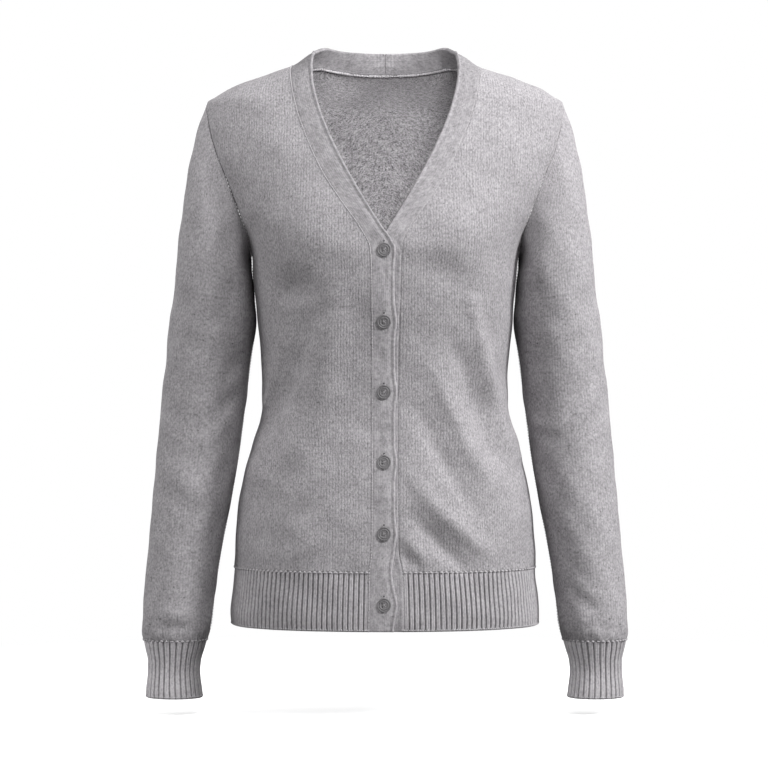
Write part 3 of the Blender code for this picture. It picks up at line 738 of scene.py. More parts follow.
def knitMaterial(name, look, reverse=False, withGrooveShade=False, useObject=False):
    material, shader, tools = startMaterial(name)
    node, join, sums = tools
    if useObject:
        uv = node("ShaderNodeTexCoord").outputs["Object"]
    else:
        uv = node("ShaderNodeUVMap", uv_map="knit").outputs[0]
    split = node("ShaderNodeSeparateXYZ")
    join(uv, split.inputs[0])

    def added(noise, share, base):
        # the base, more or less a share of the noise
        return sums("MULTIPLY_ADD", sums("SUBTRACT", noise, 0.5), share, base)

    def driftOf(drift, base):
        size, tall, shift, share = drift
        return added(noiseOf(tools, uv, size, tall, shift=shift), share, base)

    def wave(value, rise=0.5, middle=0.5):
        # once up and down for each whole number
        return sums("MULTIPLY_ADD", sums("COSINE", sums("MULTIPLY", value, 2 * pi)), rise, middle)

    build = knitBuild
    u = driftOf(build["waleDrift"], sums("DIVIDE", split.outputs[0], look["wale"] * mm))
    v = driftOf(build["courseDrift"], sums("DIVIDE", split.outputs[1], look["course"] * mm))

    # one stitch: two legs that lean apart on the face, or a row of loops on the reverse
    x = sums("SUBTRACT", sums("FRACT", u), 0.5)
    wide = wave(x)
    if reverse:
        bow = sums("MULTIPLY", sums("COSINE", sums("MULTIPLY", u, 2 * pi)), build["reverseBow"])
        leg = sums("ADD", v, bow)
        stitch = sums("MULTIPLY_ADD", wave(leg), build["reverseLoop"],
                      sums("MULTIPLY", wide, build["reverseWale"]))
    else:
        leg = sums("SUBTRACT", v, sums("MULTIPLY", sums("ABSOLUTE", x), look["lean"]))
        legs = sums("ABSOLUTE", sums("SINE", sums("MULTIPLY", u, 2 * pi)))
        loop = wave(leg, build["legLoop"], 1 - build["legLoop"])
        stitch = sums("MULTIPLY_ADD", sums("MULTIPLY", legs, loop), build["legHeight"],
                      sums("MULTIPLY", wide, build["waleHeight"]))

    # the colour: each leg a little different, then the marks, the flecks and the lines
    cell = node("ShaderNodeCombineXYZ")
    join(sums("FLOOR", sums("MULTIPLY", u, 2.0)), cell.inputs[0])
    join(sums("FLOOR", leg), cell.inputs[1])
    random = node("ShaderNodeTexWhiteNoise", noise_dimensions="2D")
    join(cell.outputs[0], random.inputs["Vector"])
    shade = added(random.outputs["Value"], look["legShare"], 1.0)
    marks = {}
    for count, key in enumerate(("grain", "blotch", "cloud")):
        size, tall, share = look[key]
        marks[key] = noiseOf(tools, uv, size, tall, shift=build["markShift"] * count)
        shade = added(marks[key], share, shade)
    size, tall, share = look["fleck"]
    fleck = noiseOf(tools, uv, size, tall, 1.0, build["fleckShift"])
    dark = sums("MINIMUM", sums("SUBTRACT", fleck, look["fleckLevel"]), 0.0)
    shade = sums("MULTIPLY_ADD", dark, share, shade)
    clear = sums("MAXIMUM", driftOf(build["clear"], 1.0), build["leastClear"])
    lines = sums("MULTIPLY", sums("SUBTRACT", wide, build["lineLevel"]), clear)
    shade = sums("MULTIPLY_ADD", lines, look["lines"], shade)
    # painted shade in the grooves between the ribs
    if withGrooveShade:
        shade = paintedGrooveShade(sums, split.outputs[0], shade)
    tint = node("ShaderNodeMix", data_type="RGBA", blend_type="MULTIPLY")
    tint.inputs["Factor"].default_value = 1.0
    tint.inputs["A"].default_value = (*look["colour"], 1)
    grey = node("ShaderNodeCombineColor")
    for channel in grey.inputs:
        join(sums("MAXIMUM", shade, build["darkest"]), channel)
    join(grey.outputs[0], tint.inputs["B"])
    join(tint.outputs["Result"], shader.inputs["Base Color"])

    fibres = noiseOf(tools, uv, build["fibre"], shift=build["fibreShift"])
    surface = sums("MULTIPLY_ADD", fibres, build["fibreHeight"],
                   sums("MULTIPLY_ADD", marks["grain"], build["grainHeight"], stitch))
    bumpOf(tools, surface, shader, 1.0, look["relief"])
    least, more = build["roughness"]
    join(sums("MULTIPLY_ADD", fibres, more, least), shader.inputs["Roughness"])
    shader.inputs["Specular IOR Level"].default_value = build["specular"]
    shader.inputs["Sheen Weight"].default_value = build["sheenWeight"]
    shader.inputs["Sheen Roughness"].default_value = build["sheenRoughness"]
    shader.inputs["Sheen Tint"].default_value = (*look["sheen"], 1)
    return material


def paintedGrooveShade(sums, across, shade):
    # painted shade: the colour is darkened in the deep grooves between the ribs, where shade falls
    phase = sums("DIVIDE", across, rib["pitch"] * mm)
    side = sums("SUBTRACT", phase, sums("ROUND", phase))
    groove = sums("MULTIPLY", side, side)
    groove = sums("EXPONENT", sums("MULTIPLY", groove, -1 / rib["paintedShadeWidth"] ** 2))
    return sums("MULTIPLY", shade, sums("MULTIPLY_ADD", groove, -rib["shade"], 1.0))


knitFace = knitMaterial("marlKnit", plainKnit)
knitSleeve = knitMaterial("marlSleeveKnit", sleeveLook)
knitReverse = knitMaterial("marlKnitReverse", reverseKnit, reverse=True)
bandKnit = knitMaterial("marlBandKnit", bandLook)
# the rib knit, with painted shade in its grooves
ribKnit = knitMaterial("marlRibKnit", ribLook, withGrooveShade=True)
# painted highlight: the seam yarn, lighter than the knit's grey
litSeamYarn = knitMaterial("litLinkingYarn", yarnLook, useObject=True)
# painted shade: a near-black copy of the seam yarn, for the armhole seam on the wearer's right, where shade
# lies along it
shadedCreaseYarn = knitMaterial("shadedCreaseYarn", dict(yarnLook, colour=(0.15, 0.145, 0.15)), useObject=True)
buttonYarn = knitMaterial("buttonYarn", dict(yarnLook, colour=(0.30, 0.290, 0.30)), useObject=True)
print("materials done")


# ---- front bands ----

bands = {
    "columns": ("seam", "seamHeight", "edge", "edgeHeight", "apart"),
    "rows": (
        (16.3, -577.0, -8.6, -577.0, 2.5),
        (16.0, -550.0, -10.6, -550.0, 2.5),
        (15.4, -518.0, -7.2, -518.0, 2.0),
        (13.2, -495.0, -9.8, -495.0, 0.6),
        (12.8, -440.0, -10.3, -440.0, 0.4),
        (12.6, -390.0, -10.3, -390.0, 0.4),
        (12.4, -330.0, -10.3, -330.0, 0.8),
        (12.8, -266.0, -10.0, -266.0, 1.6),
        (13.2, -240.0, -9.6, -240.0, 2.6),
        (13.6, -215.0, -9.4, -213.0, 2.6),
        (15.0, -194.0, -8.0, -190.0, 2.0),
        (25.0, -173.5, 3.6, -171.5, 0.0),
        (44.0, -146.3, 23.8, -138.5, 0.0),
        (64.8, -113.0, 41.8, -105.8, 0.0),
        (80.4, -78.0, 57.0, -73.5, 0.0),
        (90.0, -50.0, 67.8, -43.5, 0.0),
        (95.4, -24.0, 73.6, -17.0, 0.0),
        (97.2, -8.0, 74.8, 3.0, 0.0),
        (96.0, 0.0, 72.5, 15.5, 0.0),
    ),
    "layer": {rightSide: 1.9, leftSide: -1.1},
    # small creases, as in torsoFolds
    "puckers": {
        rightSide: (
            (1.6, -0.5, (-2, -178), (1, -184), (2, -190)),
            (2.2, 0.5, (3, -204), (4, -214), (4, -226)),
            (2.6, -0.6, (-1, -206), (0, -218), (1, -232)),
            (2.4, -0.4, (0, -345), (1, -356), (0, -368)),
            (2.6, -0.5, (1, -418), (2, -430), (1, -441)),
            (2.2, -0.4, (2, -492), (3, -503), (2, -512)),
        ),
        leftSide: (
            (1.1, -0.9, (10, -187), (13, -191), (15, -196)),
            (1.1, 0.6, (11, -190), (13.5, -194), (14.5, -199)),
            (1.1, -0.9, (10.5, -193), (12.5, -197), (13.5, -202)),
            (1.2, -0.7, (17, -188), (15.5, -193), (15, -199)),
            (1.4, -0.6, (12, -236), (14, -238), (15, -240)),
            (1.4, -0.6, (12, -246), (14, -248), (15.5, -249)),
        ),
    },
    "lapFrom": {rightSide: 0.70, leftSide: 0.30},    # shares of the band that rise or sink to its layer
    "partFrom": -178.0,
    "partTo": -112.0,
    "edgeRound": 1.5,     # at the free edge, and then at the seam
    "seamRound": 1.2,
    "hemRows": ((0, 0.006, 0.02, 0.04), 0.07, 1, 22, ()),
    "acrossShares": ((0, 0.012, 0.03, 0.06), 0.1, 0.8, 12,
                     (0.835, 0.87, 0.9, 0.925, 0.95, 0.97, 0.985, 1.0)),
    # turns round the back neck: how many up to which turn, how many closer ones from which turn, and
    # how far from the centre back these and the last one lie
    "neckTurns": ((56, 2.9), (36, 2.905), (0.012, 0.004)),
}

buttons = {
    "count": 6,
    "topHeight": -196.3,
    "spacing": 70.8,
    "offset": -1.0,
    "radius": 7.0,
    "thick": 2.4,
    "seatGap": 0.5,
    "edgeBulge": 2.1,
    "bulgeWidth": 12.0,
    "bulgeBelow": -190.0,
}
buttonHeights = buttons["topHeight"] - buttons["spacing"] * np.arange(buttons["count"])


def bandPlaces(side):
    rows = np.arange(len(bands["rows"]), dtype=float)
    at = rows[-1] * (1 - (1 - np.linspace(0, 1, 4001)) ** 2)
    seamX, seamZ, edgeX, edgeZ, apart = (
        smoothCurve(rows, column(bands, name), at) for name in bands["columns"]
    )
    if side == leftSide:
        seamX = seamX + apart
        edgeX = edgeX + apart
    else:
        for height in buttonHeights:
            near = bell((edgeZ - height) / buttons["bulgeWidth"])
            edgeX = edgeX - buttons["edgeBulge"] * near * (edgeZ < buttons["bulgeBelow"])
    return at, (seamX, seamZ), (edgeX, edgeZ)


# the columns and rows of the panels' points, with the lengths that they are spread over
panels = {
    "lowerLength": 321.0,
    "upperLength": 200.0,
    "upperRows": 70,
    "frontWidth": 150.0,
    "backWidth": 96.0,       # up to the neck's column
    "backTo": 0.97,
    "neckColumns": 27,
    "guideShare": 0.06,      # how much of the way out the neck's column leans with the side
}
lowerLevels = between(heights["hemRibTop"], heights["armpit"], edgeSteps(panels["lowerLength"])[:-3])


def panelLevels():
    # rows up to the armpit, of which the lowest are close together for the turned edge
    return np.append(lowerLevels[lowerLevels < heights["armpit"] - 1], heights["armpit"])


def upperShares():
    # shares of the way from the armpit to the shoulder seam, close together at the top
    even = np.linspace(0, 1, panels["upperRows"] + 1)[1:-1]
    return np.append(even, 1 - np.array(cloth["edgeRows"][2::-1]) / panels["upperLength"])


def seamStations(side):
    at, (seamX, seamZ), _ = bandPlaces(side)
    low = np.interp(panelLevels(), seamZ, at)
    points = torsoBase(angleAt(seamX, seamZ), seamZ)
    length = runLength(points)
    start = np.interp(low[-1], at, length)
    high = np.interp(between(start, length[-1], upperShares()), length, at)
    return np.concatenate([low, high])


def bandEdge(side, stations, which):
    at, *edges = bandPlaces(side)
    x, height = (np.interp(stations, at, values) for values in edges[which])
    return angleAt(x, height), height


backNeckLine = {
    # height at the centre back, how far it climbs to the side, and how far out it does
    "seam": {"middle": -3.6, "climb": 6.5, "wide": 70.0},
    "edge": {"middle": 18.6, "climb": 3.2, "wide": 64.0},
    "shoulder": 97.0,       # how far out the seam is level with the front's
    "edgeTurn": 0.5,        # the turn over which the edge comes down to its own line
}


def backNeck(turns, which):
    line = backNeckLine[("seam", "edge")[which]]
    shoulder = bands["rows"][-1][(1, 3)[which]]
    x = np.abs(torsoBase(turns, shoulder)[..., 0])
    height = line["middle"] + line["climb"] * np.minimum(x / line["wide"], 1) ** 2
    if which == 0:
        left = ease(x, line["wide"] + 2, backNeckLine["shoulder"])
    else:
        left = 1 - np.sin(np.clip((turns - pi / 2) / backNeckLine["edgeTurn"], 0, 1) * pi / 2)
    return turns, height + (shoulder - line["middle"] - line["climb"]) * left


def outerEdge(face):
    low = panelLevels()
    angle, height = armholeEdge(pi * (1 - upperShares()), face)
    return np.concatenate([np.full(len(low), pi / 2), angle]), np.concatenate([low, height])


def spread(first, last, shares):
    return between(first[:, None], last[:, None], shares)


def rowShares(rows):
    # the first shares, a number of even ones between two shares, and the last shares
    first, start, end, count, last = rows
    return np.concatenate([first, np.linspace(start, end, count), last])


# ---- panels ----

def makeFront(side):
    seamAngle, seamHeight = bandEdge(side, seamStations(side), 0)
    edgeAngle, edgeHeight = outerEdge("front")
    shares = edgeSteps(panels["frontWidth"])
    angle, height = spread(seamAngle, edgeAngle, shares), spread(seamHeight, edgeHeight, shares)
    return torsoPanel("frontPanel" + sideWords[side], side * angle, height)


def backGuide():
    neckX = bands["rows"][-1][0]

    def angle(height):
        wide = readForm(torso, "halfWidth", height)
        lean = panels["guideShare"] * (wide - neckX)
        return pi - angleAt(np.minimum(neckX + lean, wide), height)

    levels = heights["armpit"] * np.linspace(1, 0, 2001) ** 2
    points = torsoBase(angle(levels), levels)
    length = runLength(points)
    climb = np.interp(length[-1] * upperShares(), length, levels)
    height = np.concatenate([panelLevels(), climb])
    return angle(height), height


def makeBack():
    edgeAngle, edgeHeight = outerEdge("back")
    edgeAngle = pi - edgeAngle
    guideAngle, guideHeight = backGuide()
    shares = edgeSteps(panels["backWidth"])
    shares = np.append(shares[shares < panels["backTo"]], 1.0)
    angle, height = spread(edgeAngle, guideAngle, shares), spread(edgeHeight, guideHeight, shares)
    neckShares = np.linspace(0, 1, panels["neckColumns"])[1:]
    neckAngle = spread(guideAngle, np.full_like(guideAngle, pi), neckShares)
    climb = ease(guideHeight, heights["armpit"], 0)[:, None]
    neckHeight = guideHeight[:, None] + backNeck(neckAngle, 0)[1] * climb
    angle = np.concatenate([angle, neckAngle], 1)
    height = np.concatenate([height, neckHeight], 1)
    # the other half mirrors the first
    angle = np.concatenate([angle, 2 * pi - angle[:, -2::-1]], 1)
    height = np.concatenate([height, height[:, -2::-1]], 1)
    return torsoPanel("backPanel", angle, height, fromBack=True)


def ribProfile(phase):
    # how far the knit stands out: two close columns, then a deep groove
    away = np.abs(phase - np.round(phase))
    groove, middle = bell(away / rib["grooveWidth"]), bell((0.5 - away) / rib["middleWidth"])
    return -rib["relief"] * groove - rib["middleRelief"] * middle


def makeHem(name, first, last):
    levels = between(heights["hem"], heights["hemRibTop"], rowShares(rib["rows"]))
    start, end = first(levels), last(levels)
    way = np.linspace(0, 1, 1200)
    middle = torsoBase(between(start[1], end[1], way), levels[1])
    length = runLength(middle)
    ribs = round(length[-1] / rib["pitch"])
    phase = np.linspace(0, ribs, ribs * rib["points"] + 1)
    angle = spread(start, end, np.interp(phase / ribs, length / length[-1], way))
    height = np.repeat(levels[:, None], angle.shape[1], 1)
    base = pullIn(torsoPoints(angle, height), ("top", "first", "last"))
    away = edgeDistance(base)
    inwards = turnedIn(away, cloth["ribThick"], cloth["ribEdgeRound"])
    relief = ribProfile(phase) * ease(away, 0.0, cloth["ribRise"])
    across = np.repeat(phase[None] * rib["pitch"], len(levels), 0)
    return clothShell(name, base, torsoNormal(angle, height), cloth["ribThick"], inwards, across,
                      runLength(base, 0), (ribKnit, ribKnit), relief)


def placketAngle(side):
    def at(levels):
        _, (seamX, seamZ), _ = bandPlaces(side)
        return side * angleAt(np.interp(levels, seamZ, seamX), levels)
    return at


def sideAngle(degrees):
    return lambda levels: np.full(len(levels), np.radians(degrees))


fronts = {side: makeFront(side) for side in bothSides}
back = makeBack()
hems = {
    "hem_right": makeHem("hemRibRight", sideAngle(-90), placketAngle(rightSide)),
    "hem_left": makeHem("hemRibLeft", placketAngle(leftSide), sideAngle(90)),
    "hem_back": makeHem("hemRibBack", sideAngle(90), sideAngle(270)),
}
print("panels and hem done")

# the rolled bead along a band's free edge and the groove beside it: distance from the edge, width, relief
edgeBead = ((1.7, 1.25, 0.55), (4.4, 1.6, -0.45))
# the courses that show inside the centre back: relief, spacing, and where they fade out
innerStripes = {"relief": 0.12, "spacing": 3.7, "from": 7.0, "to": 12.0, "clearOf": 0.6}


def makeBand(side):
    at, (_, seamZ), _ = bandPlaces(side)
    hemLevels = between(heights["hem"], heights["hemRibTop"], rowShares(bands["hemRows"]))
    stations = np.concatenate([np.interp(hemLevels, seamZ, at)[:-1], seamStations(side)[:-2]])
    stations[-1] = len(bands["rows"]) - 1
    stations = np.interp(np.arange(0, len(stations) - 0.75, 0.5), np.arange(len(stations)), stations)
    (count, turn), (closeCount, closeTurn), (near, nearest) = bands["neckTurns"]
    neck = np.concatenate([np.linspace(pi / 2, turn, count)[1:],
                           np.linspace(closeTurn, pi - near, closeCount), [pi - nearest, pi]])
    shares = rowShares(bands["acrossShares"])
    lines = []
    for which in (0, 1):
        neckLine = backNeck(neck, which)
        lines.append([np.append(*both) for both in zip(bandEdge(side, stations, which), neckLine)])
    angle, height = (spread(first, last, shares) for first, last in zip(*lines))
    layer = bands["layer"][side] * (1 - ease(height, bands["partFrom"], bands["partTo"]))
    layer = layer * ease(shares, 0, bands["lapFrom"][side])
    angle = side * angle
    base = pullIn(torsoPoints(angle, height, layer), ("top", "first"))
    normal = torsoNormal(angle, height)
    across = runLength(base, 1)
    fromEdge = across[:, -1:] - across
    rounds = np.where(fromEdge < across[:, -1:] / 2, bands["edgeRound"], bands["seamRound"])
    inwards = turnedIn(edgeDistance(base), cloth["bandThick"], rounds)
    relief = sum(rise * bell((fromEdge - place) / width) for place, width, rise in edgeBead)
    base = base + normal * foldRelief(base[..., [0, 2]], bands["puckers"][side])[..., None]
    along = runLength(base, 0)
    fromMiddle = along[-1:] - along
    stripes = innerStripes["relief"] * np.cos(fromMiddle / innerStripes["spacing"] * 2 * pi)
    stripes *= 1 - ease(fromMiddle, innerStripes["from"], innerStripes["to"])
    stripes *= 1 - ease(inwards, 0, innerStripes["clearOf"])
    return clothShell("band" + sideWords[side], base, normal, cloth["bandThick"], inwards, across, along,
                      (bandKnit, bandKnit), relief, stripes)


frontBands = {side: makeBand(side) for side in bothSides}
print("bands done")


# ---- sleeves ----

sleeves = {
    "columns": ("height", "centre", "halfWidth", "forward", "halfDepth"),
    "rows": (
        (-651.0, 216.0, 29.4, 24.0, 27.5),
        (-643.0, 216.5, 28.8, 23.5, 27.0),
        (-624.0, 216.7, 26.9, 22.0, 25.5),
        (-613.0, 216.2, 27.4, 21.2, 27.0),
        (-603.0, 215.8, 29.9, 20.4, 30.0),
        (-592.0, 215.4, 32.6, 19.4, 33.5),
        (-583.0, 215.0, 35.0, 18.2, 37.0),
        (-573.0, 214.0, 36.0, 16.8, 38.5),
        (-552.0, 212.2, 36.1, 14.0, 39.5),
        (-501.0, 206.7, 37.9, 8.0, 42.0),
        (-450.0, 199.5, 40.4, 3.0, 45.0),
        (-398.0, 193.3, 42.7, -2.0, 47.0),
        (-346.0, 187.5, 43.5, -4.0, 48.5),
        (-295.0, 181.8, 44.3, -4.0, 52.0),
        (-278.0, 179.5, 44.9, -3.6, 53.5),
        (-262.0, 177.9, 44.5, -3.2, 54.5),
        (-247.0, 177.1, 42.5, -2.6, 55.5),
        (-230.0, 176.8, 41.2, -2.0, 56.0),
    ),
    "crownEnd": -230.0,
    "crownSlopeOver": 5.0,
    "underarmFrom": 110.0,
    "underarmTo": 170.0,
    "foldsFrom": 14.0,       # distance from both ends over which the folds begin
    "columnsRound": 132,
    "crownRows": ((0, 0.002, 0.006, 0.012), 0.022, 1, 54, ()),
    "lowerRows": ((), 0, 0.996, 108, (0.9978, 0.9991, 1.0)),
    "ripplesOver": 240.0,    # the ripples' way round the sleeve
}

cuffs = {
    "ribs": 30,
    "points": 12,            # round each rib
    "relief": 1.7,
    "rows": ((0, 0.006, 0.018), 0.04, 0.95, 16, (0.97, 0.985, 0.995, 1.0)),
}

# how the sleeve leaves the armhole, as shares of the crown's length there
crown = {
    "columns": ("angle", "out", "forward", "down"),
    "rows": (
        (0.0, 0.28, 0.00, 0.70),
        (45.0, 0.36, 0.12, 0.62),
        (90.0, 0.45, 0.22, 0.55),
        (135.0, 0.42, 0.22, 0.50),
        (180.0, 0.08, 0.00, 0.55),
    ),
}

# creases and ridges: width and relief, then points as a turn in degrees (90 is the front) and a height
sleeveFolds = {
    leftSide: (
        (5, -0.7, (152, -379), (135, -384), (115, -386), (96, -384)),
        (6, 1.3, (150, -368), (132, -373), (112, -374)),
        (9, -2.5, (62, -318), (74, -338), (92, -356), (104, -360)),
        (9, 2.0, (48, -332), (60, -352), (80, -370)),
        (10, -2.2, (126, -514), (108, -528), (84, -548)),
        (9, -2.2, (128, -538), (104, -552), (78, -562)),
        (9, 1.8, (120, -524), (96, -540), (70, -556)),
        (8, -2.0, (92, -572), (74, -580), (50, -584)),
        (14, 2.5, (110, -170), (118, -205), (124, -240)),
        (10, 2.0, (200, -366), (232, -372), (262, -368)),
        (9, -2.8, (196, -382), (228, -386), (268, -380)),
        (12, -2.0, (300, -440), (270, -462), (238, -476)),
        (12, 2.0, (306, -424), (274, -446), (244, -458)),
        (14, -2.0, (290, -300), (262, -330), (236, -350)),
        (10, -2.0, (240, -520), (270, -536), (306, -544)),
    ),
    rightSide: (
        (9, -2.2, (146, -336), (122, -352), (100, -372)),
        (9, 2.0, (150, -352), (128, -370), (104, -392)),
        (12, -2.0, (150, -298), (128, -318), (108, -332)),
        (9, -2.2, (60, -576), (84, -580), (112, -578)),
        (9, 1.9, (64, -562), (88, -566), (116, -563)),
        (12, -1.8, (60, -440), (88, -452), (116, -474)),
        (14, 1.8, (56, -424), (86, -438), (112, -458)),
        (10, 2.0, (200, -370), (232, -378), (262, -374)),
        (9, -2.5, (196, -386), (228, -392), (268, -388)),
        (12, -2.0, (300, -430), (270, -448), (238, -466)),
        (14, -1.8, (286, -306), (258, -334), (236, -360)),
        (10, -1.8, (244, -528), (272, -538), (304, -552)),
    ),
    "degree": 0.75,    # millimetres of cloth to a degree
}


def sleeveRing(turn, height):
    turn, height = np.broadcast_arrays(np.asarray(turn, float), np.asarray(height, float))
    centre, halfWidth, forward, halfDepth = (
        readForm(sleeves, name, height) for name in sleeves["columns"][1:]
    )
    return np.stack([centre + halfWidth * np.cos(turn), -forward - halfDepth * np.sin(turn), height], -1)


def crownStart(turn):
    at = np.where(turn <= pi, turn, 2 * pi - turn)
    frontAngle, height = armholeEdge(at, "front")
    backAngle, _ = armholeEdge(at, "back")
    angle = np.where(turn <= pi, frontAngle, pi - backAngle)
    start = torsoPoints(angle, height)
    normal = torsoNormal(angle, height)
    roundIt = np.roll(start, -1, 0) - np.roll(start, 1, 0)
    inwards = unit(np.cross(normal, roundIt))
    inwards *= np.sign(((start.mean(0) - start) * inwards).sum(-1, keepdims=True))
    return start, normal, inwards


def sleeveGrid(turns):
    at = np.degrees(np.where(turns <= pi, turns, 2 * pi - turns))
    start, normal, inwards = crownStart(turns)
    under = ease(at, sleeves["underarmFrom"], sleeves["underarmTo"])[:, None]
    start = start + (inwards + normal * under) * cloth["seamGap"]
    end = sleeveRing(turns, sleeves["crownEnd"])
    length = np.linalg.norm(end - start, axis=1)[:, None]
    ahead = np.where(turns <= pi, -1.0, 1.0)
    leave = np.stack([readForm(crown, "out", at), ahead * readForm(crown, "forward", at),
                      -readForm(crown, "down", at)], -1) * length
    below = sleeveRing(turns, sleeves["crownEnd"] - sleeves["crownSlopeOver"])
    arrive = unit(below - end) * length
    rows = []
    for t in rowShares(sleeves["crownRows"]):
        rows.append((1 + 2 * t) * (1 - t) ** 2 * start + t * (1 - t) ** 2 * leave
                    + t * t * (3 - 2 * t) * end - t * t * (1 - t) * arrive)
    for height in between(sleeves["crownEnd"], heights["cuffTop"], rowShares(sleeves["lowerRows"])[1:]):
        rows.append(sleeveRing(turns, height))
    return np.array(rows)


def tubeNormals(grid):
    roundIt = np.roll(grid, -1, 1) - np.roll(grid, 1, 1)
    down = np.gradient(grid, axis=0)
    return unit(np.cross(roundIt, down))


def sleeveRelief(grid, turns, side):
    degree = sleeveFolds["degree"]
    place = np.stack([np.degrees(np.broadcast_to(turns, grid.shape[:2])) * degree, grid[..., 2]], -1)
    folds = [(width, depth, *((turn * degree, height) for turn, height in line))
             for width, depth, *line in sleeveFolds[side]]
    relief = foldRelief(place, folds)
    for across, up, phase, depth in ripples:
        waves = np.round(sleeves["ripplesOver"] / across)
        relief += depth * np.sin(waves * turns + grid[..., 2] / up * 2 * pi + phase)
    return relief


def makeSleeve(side):
    turns = np.linspace(0, 2 * pi, sleeves["columnsRound"], endpoint=False)
    grid = sleeveGrid(turns)
    normals = tubeNormals(grid)
    fade = ease(edgeDistance(grid, tube=True), 0, sleeves["foldsFrom"])
    around = turns / (2 * pi) * cuffs["ribs"] * rib["pitch"]
    drawn = gatherRelief(around, grid[..., 2] - heights["cuffTop"])
    base = grid + normals * (sleeveRelief(grid, turns, side) * fade + drawn)[..., None]
    base[-1, :, 2] += cloth["seamGap"] / 2
    inwards = turnedIn(edgeDistance(base, tube=True), cloth["knitThick"], cloth["edgeRound"])
    ring = closeRing(base)
    across, along = runLength(ring, 1), runLength(ring[::-1], 0)[::-1]
    return clothShell("sleeve" + sideWords[side], base, normals, cloth["knitThick"], inwards, across, along,
                      (knitSleeve, knitReverse), tubeSide=side)


def makeCuff(side):
    top = heights["cuffTop"] - cloth["seamGap"] / 2
    levels = between(top, heights["cuffBottom"], rowShares(cuffs["rows"]))
    phase = np.linspace(0, cuffs["ribs"], cuffs["ribs"] * cuffs["points"], endpoint=False)
    grid = sleeveRing(2 * pi * phase / cuffs["ribs"], levels[:, None])
    away = edgeDistance(grid, tube=True)
    inwards = turnedIn(away, cloth["ribThick"], cloth["ribEdgeRound"])
    relief = ribProfile(phase) * cuffs["relief"] / rib["relief"] * ease(away, 0, cloth["ribRise"])
    across = np.repeat(np.append(phase, cuffs["ribs"])[None] * rib["pitch"], len(levels), 0)
    return clothShell("cuff" + sideWords[side], grid, tubeNormals(grid), cloth["ribThick"], inwards, across,
                      runLength(closeRing(grid), 0), (ribKnit, ribKnit), relief, tubeSide=side)


armSleeves = {side: makeSleeve(side) for side in bothSides}
armCuffs = {side: makeCuff(side) for side in bothSides}
print("sleeves and cuffs done")


# ---- what each piece stands for ----

for side, word in sideWords.items():
    node = word.lower()
    finishPiece(fronts[side], ["front_" + node])
    finishPiece(armSleeves[side], ["sleeve_" + node])
    finishPiece(armCuffs[side], ["cuff_" + node])
    finishPiece(frontBands[side], ["band_" + node])
finishPiece(back, ["back"])
for node, piece in hems.items():
    finishPiece(piece, [node])


# ---- seams ----

seams = {
    "cordRadius": 0.85,
    "cordDepth": {rightSide: -0.8, leftSide: -1.25},    # below the cloth's face
    "bandLift": {rightSide: 0.15, leftSide: -0.6},
    "bandStitch": {rightSide: (1.5, 0.62, 0.55), leftSide: (1.4, 0.45, 0.4)},
    "stitchSpacing": 3.0,
    "armholeSpacing": 3.9,
    "armholeDepth": (-1.0, -0.45),    # cord, stitches
    "armholeStitch": (1.5, 0.95, 0.7),    # half length, half width, half height
    "armholeLean": 38,
    "backingDepth": 1.2,    # of a second cord behind the first, which closes the gap
    "sideStitch": {"size": (1.3, 0.42, 0.36), "lean": 8, "lift": -0.35},
    "underarmLift": 0.05,
    "middleStitch": {"spacing": 2.4, "size": (1.1, 0.4, 0.3), "lift": -0.25, "seed": 41},
    "middleDepth": -1.1,
    "neckStitch": {"spacing": 2.7, "size": (1.7, 1.35, 1.5), "lean": 30, "lift": 0.9, "uneven": 0.3,
                   "seed": 43},
    "neckOverrun": 0.25,    # how far the inner row runs on past each shoulder, as a turn
    "points": {"band": 700, "bandNeck": 120, "armhole": 260, "side": 200, "shoulder": 80, "middle": 40,
               "neck": 300},
}


def torsoLine(angle, height, offset=0.0):
    return torsoPoints(angle, height, offset), torsoNormal(angle, height)


def bandSeamLine(side):
    count = seams["points"]
    angle, height = bandEdge(side, np.linspace(0, len(bands["rows"]) - 1, count["band"]), 0)
    neckAngle, neckHeight = backNeck(np.linspace(pi / 2, pi, count["bandNeck"])[1:], 0)
    return torsoLine(side * np.append(angle, neckAngle), np.append(height, neckHeight))


def seamPiece(name, rows, closed=False, yarn=litSeamYarn):
    # rows of (points, normals, cord depth, stitch settings)
    parts = []
    for points, normals, cordOffset, stitches in rows:
        if cordOffset is not None:
            parts += cordAlong(points + normals * cordOffset, normals, seams["cordRadius"], closed=closed)
        for settings in stitches:
            line, facing = (closeLine(points), closeLine(normals)) if closed else (points, normals)
            parts.append(stitchRow(line, facing, **settings))
    piece = meshPiece(name, parts, yarn)
    return finishPiece(piece, [])


def makeBandSeam(side):
    points, normals = bandSeamLine(side)
    stitch = {"spacing": seams["stitchSpacing"], "size": seams["bandStitch"][side], "lean": 10 * side,
              "lift": seams["bandLift"][side], "seed": 11 + side}
    seamPiece("bandSeam" + sideWords[side], [(points, normals, seams["cordDepth"][side], [stitch])])


def makeArmholeSeam(side):
    turns = np.linspace(0, 2 * pi, seams["points"]["armhole"], endpoint=False)
    start, normal, _ = crownStart(turns)
    start, normal = mirrored(start, side), mirrored(normal, side)
    depth, lift = seams["armholeDepth"]
    stitch = {"spacing": seams["armholeSpacing"], "size": seams["armholeStitch"],
              "lean": seams["armholeLean"] * side, "lift": lift, "seed": 21 + side}
    rows = [(start, normal, depth, [stitch]), (start, normal, depth - seams["backingDepth"], [])]
    # the wearer's right armhole seam takes the yarn painted dark as shade, the left one the lighter seam
    # yarn
    yarn = shadedCreaseYarn if side == rightSide else litSeamYarn
    seamPiece("armholeSeam" + sideWords[side], rows, closed=True, yarn=yarn)


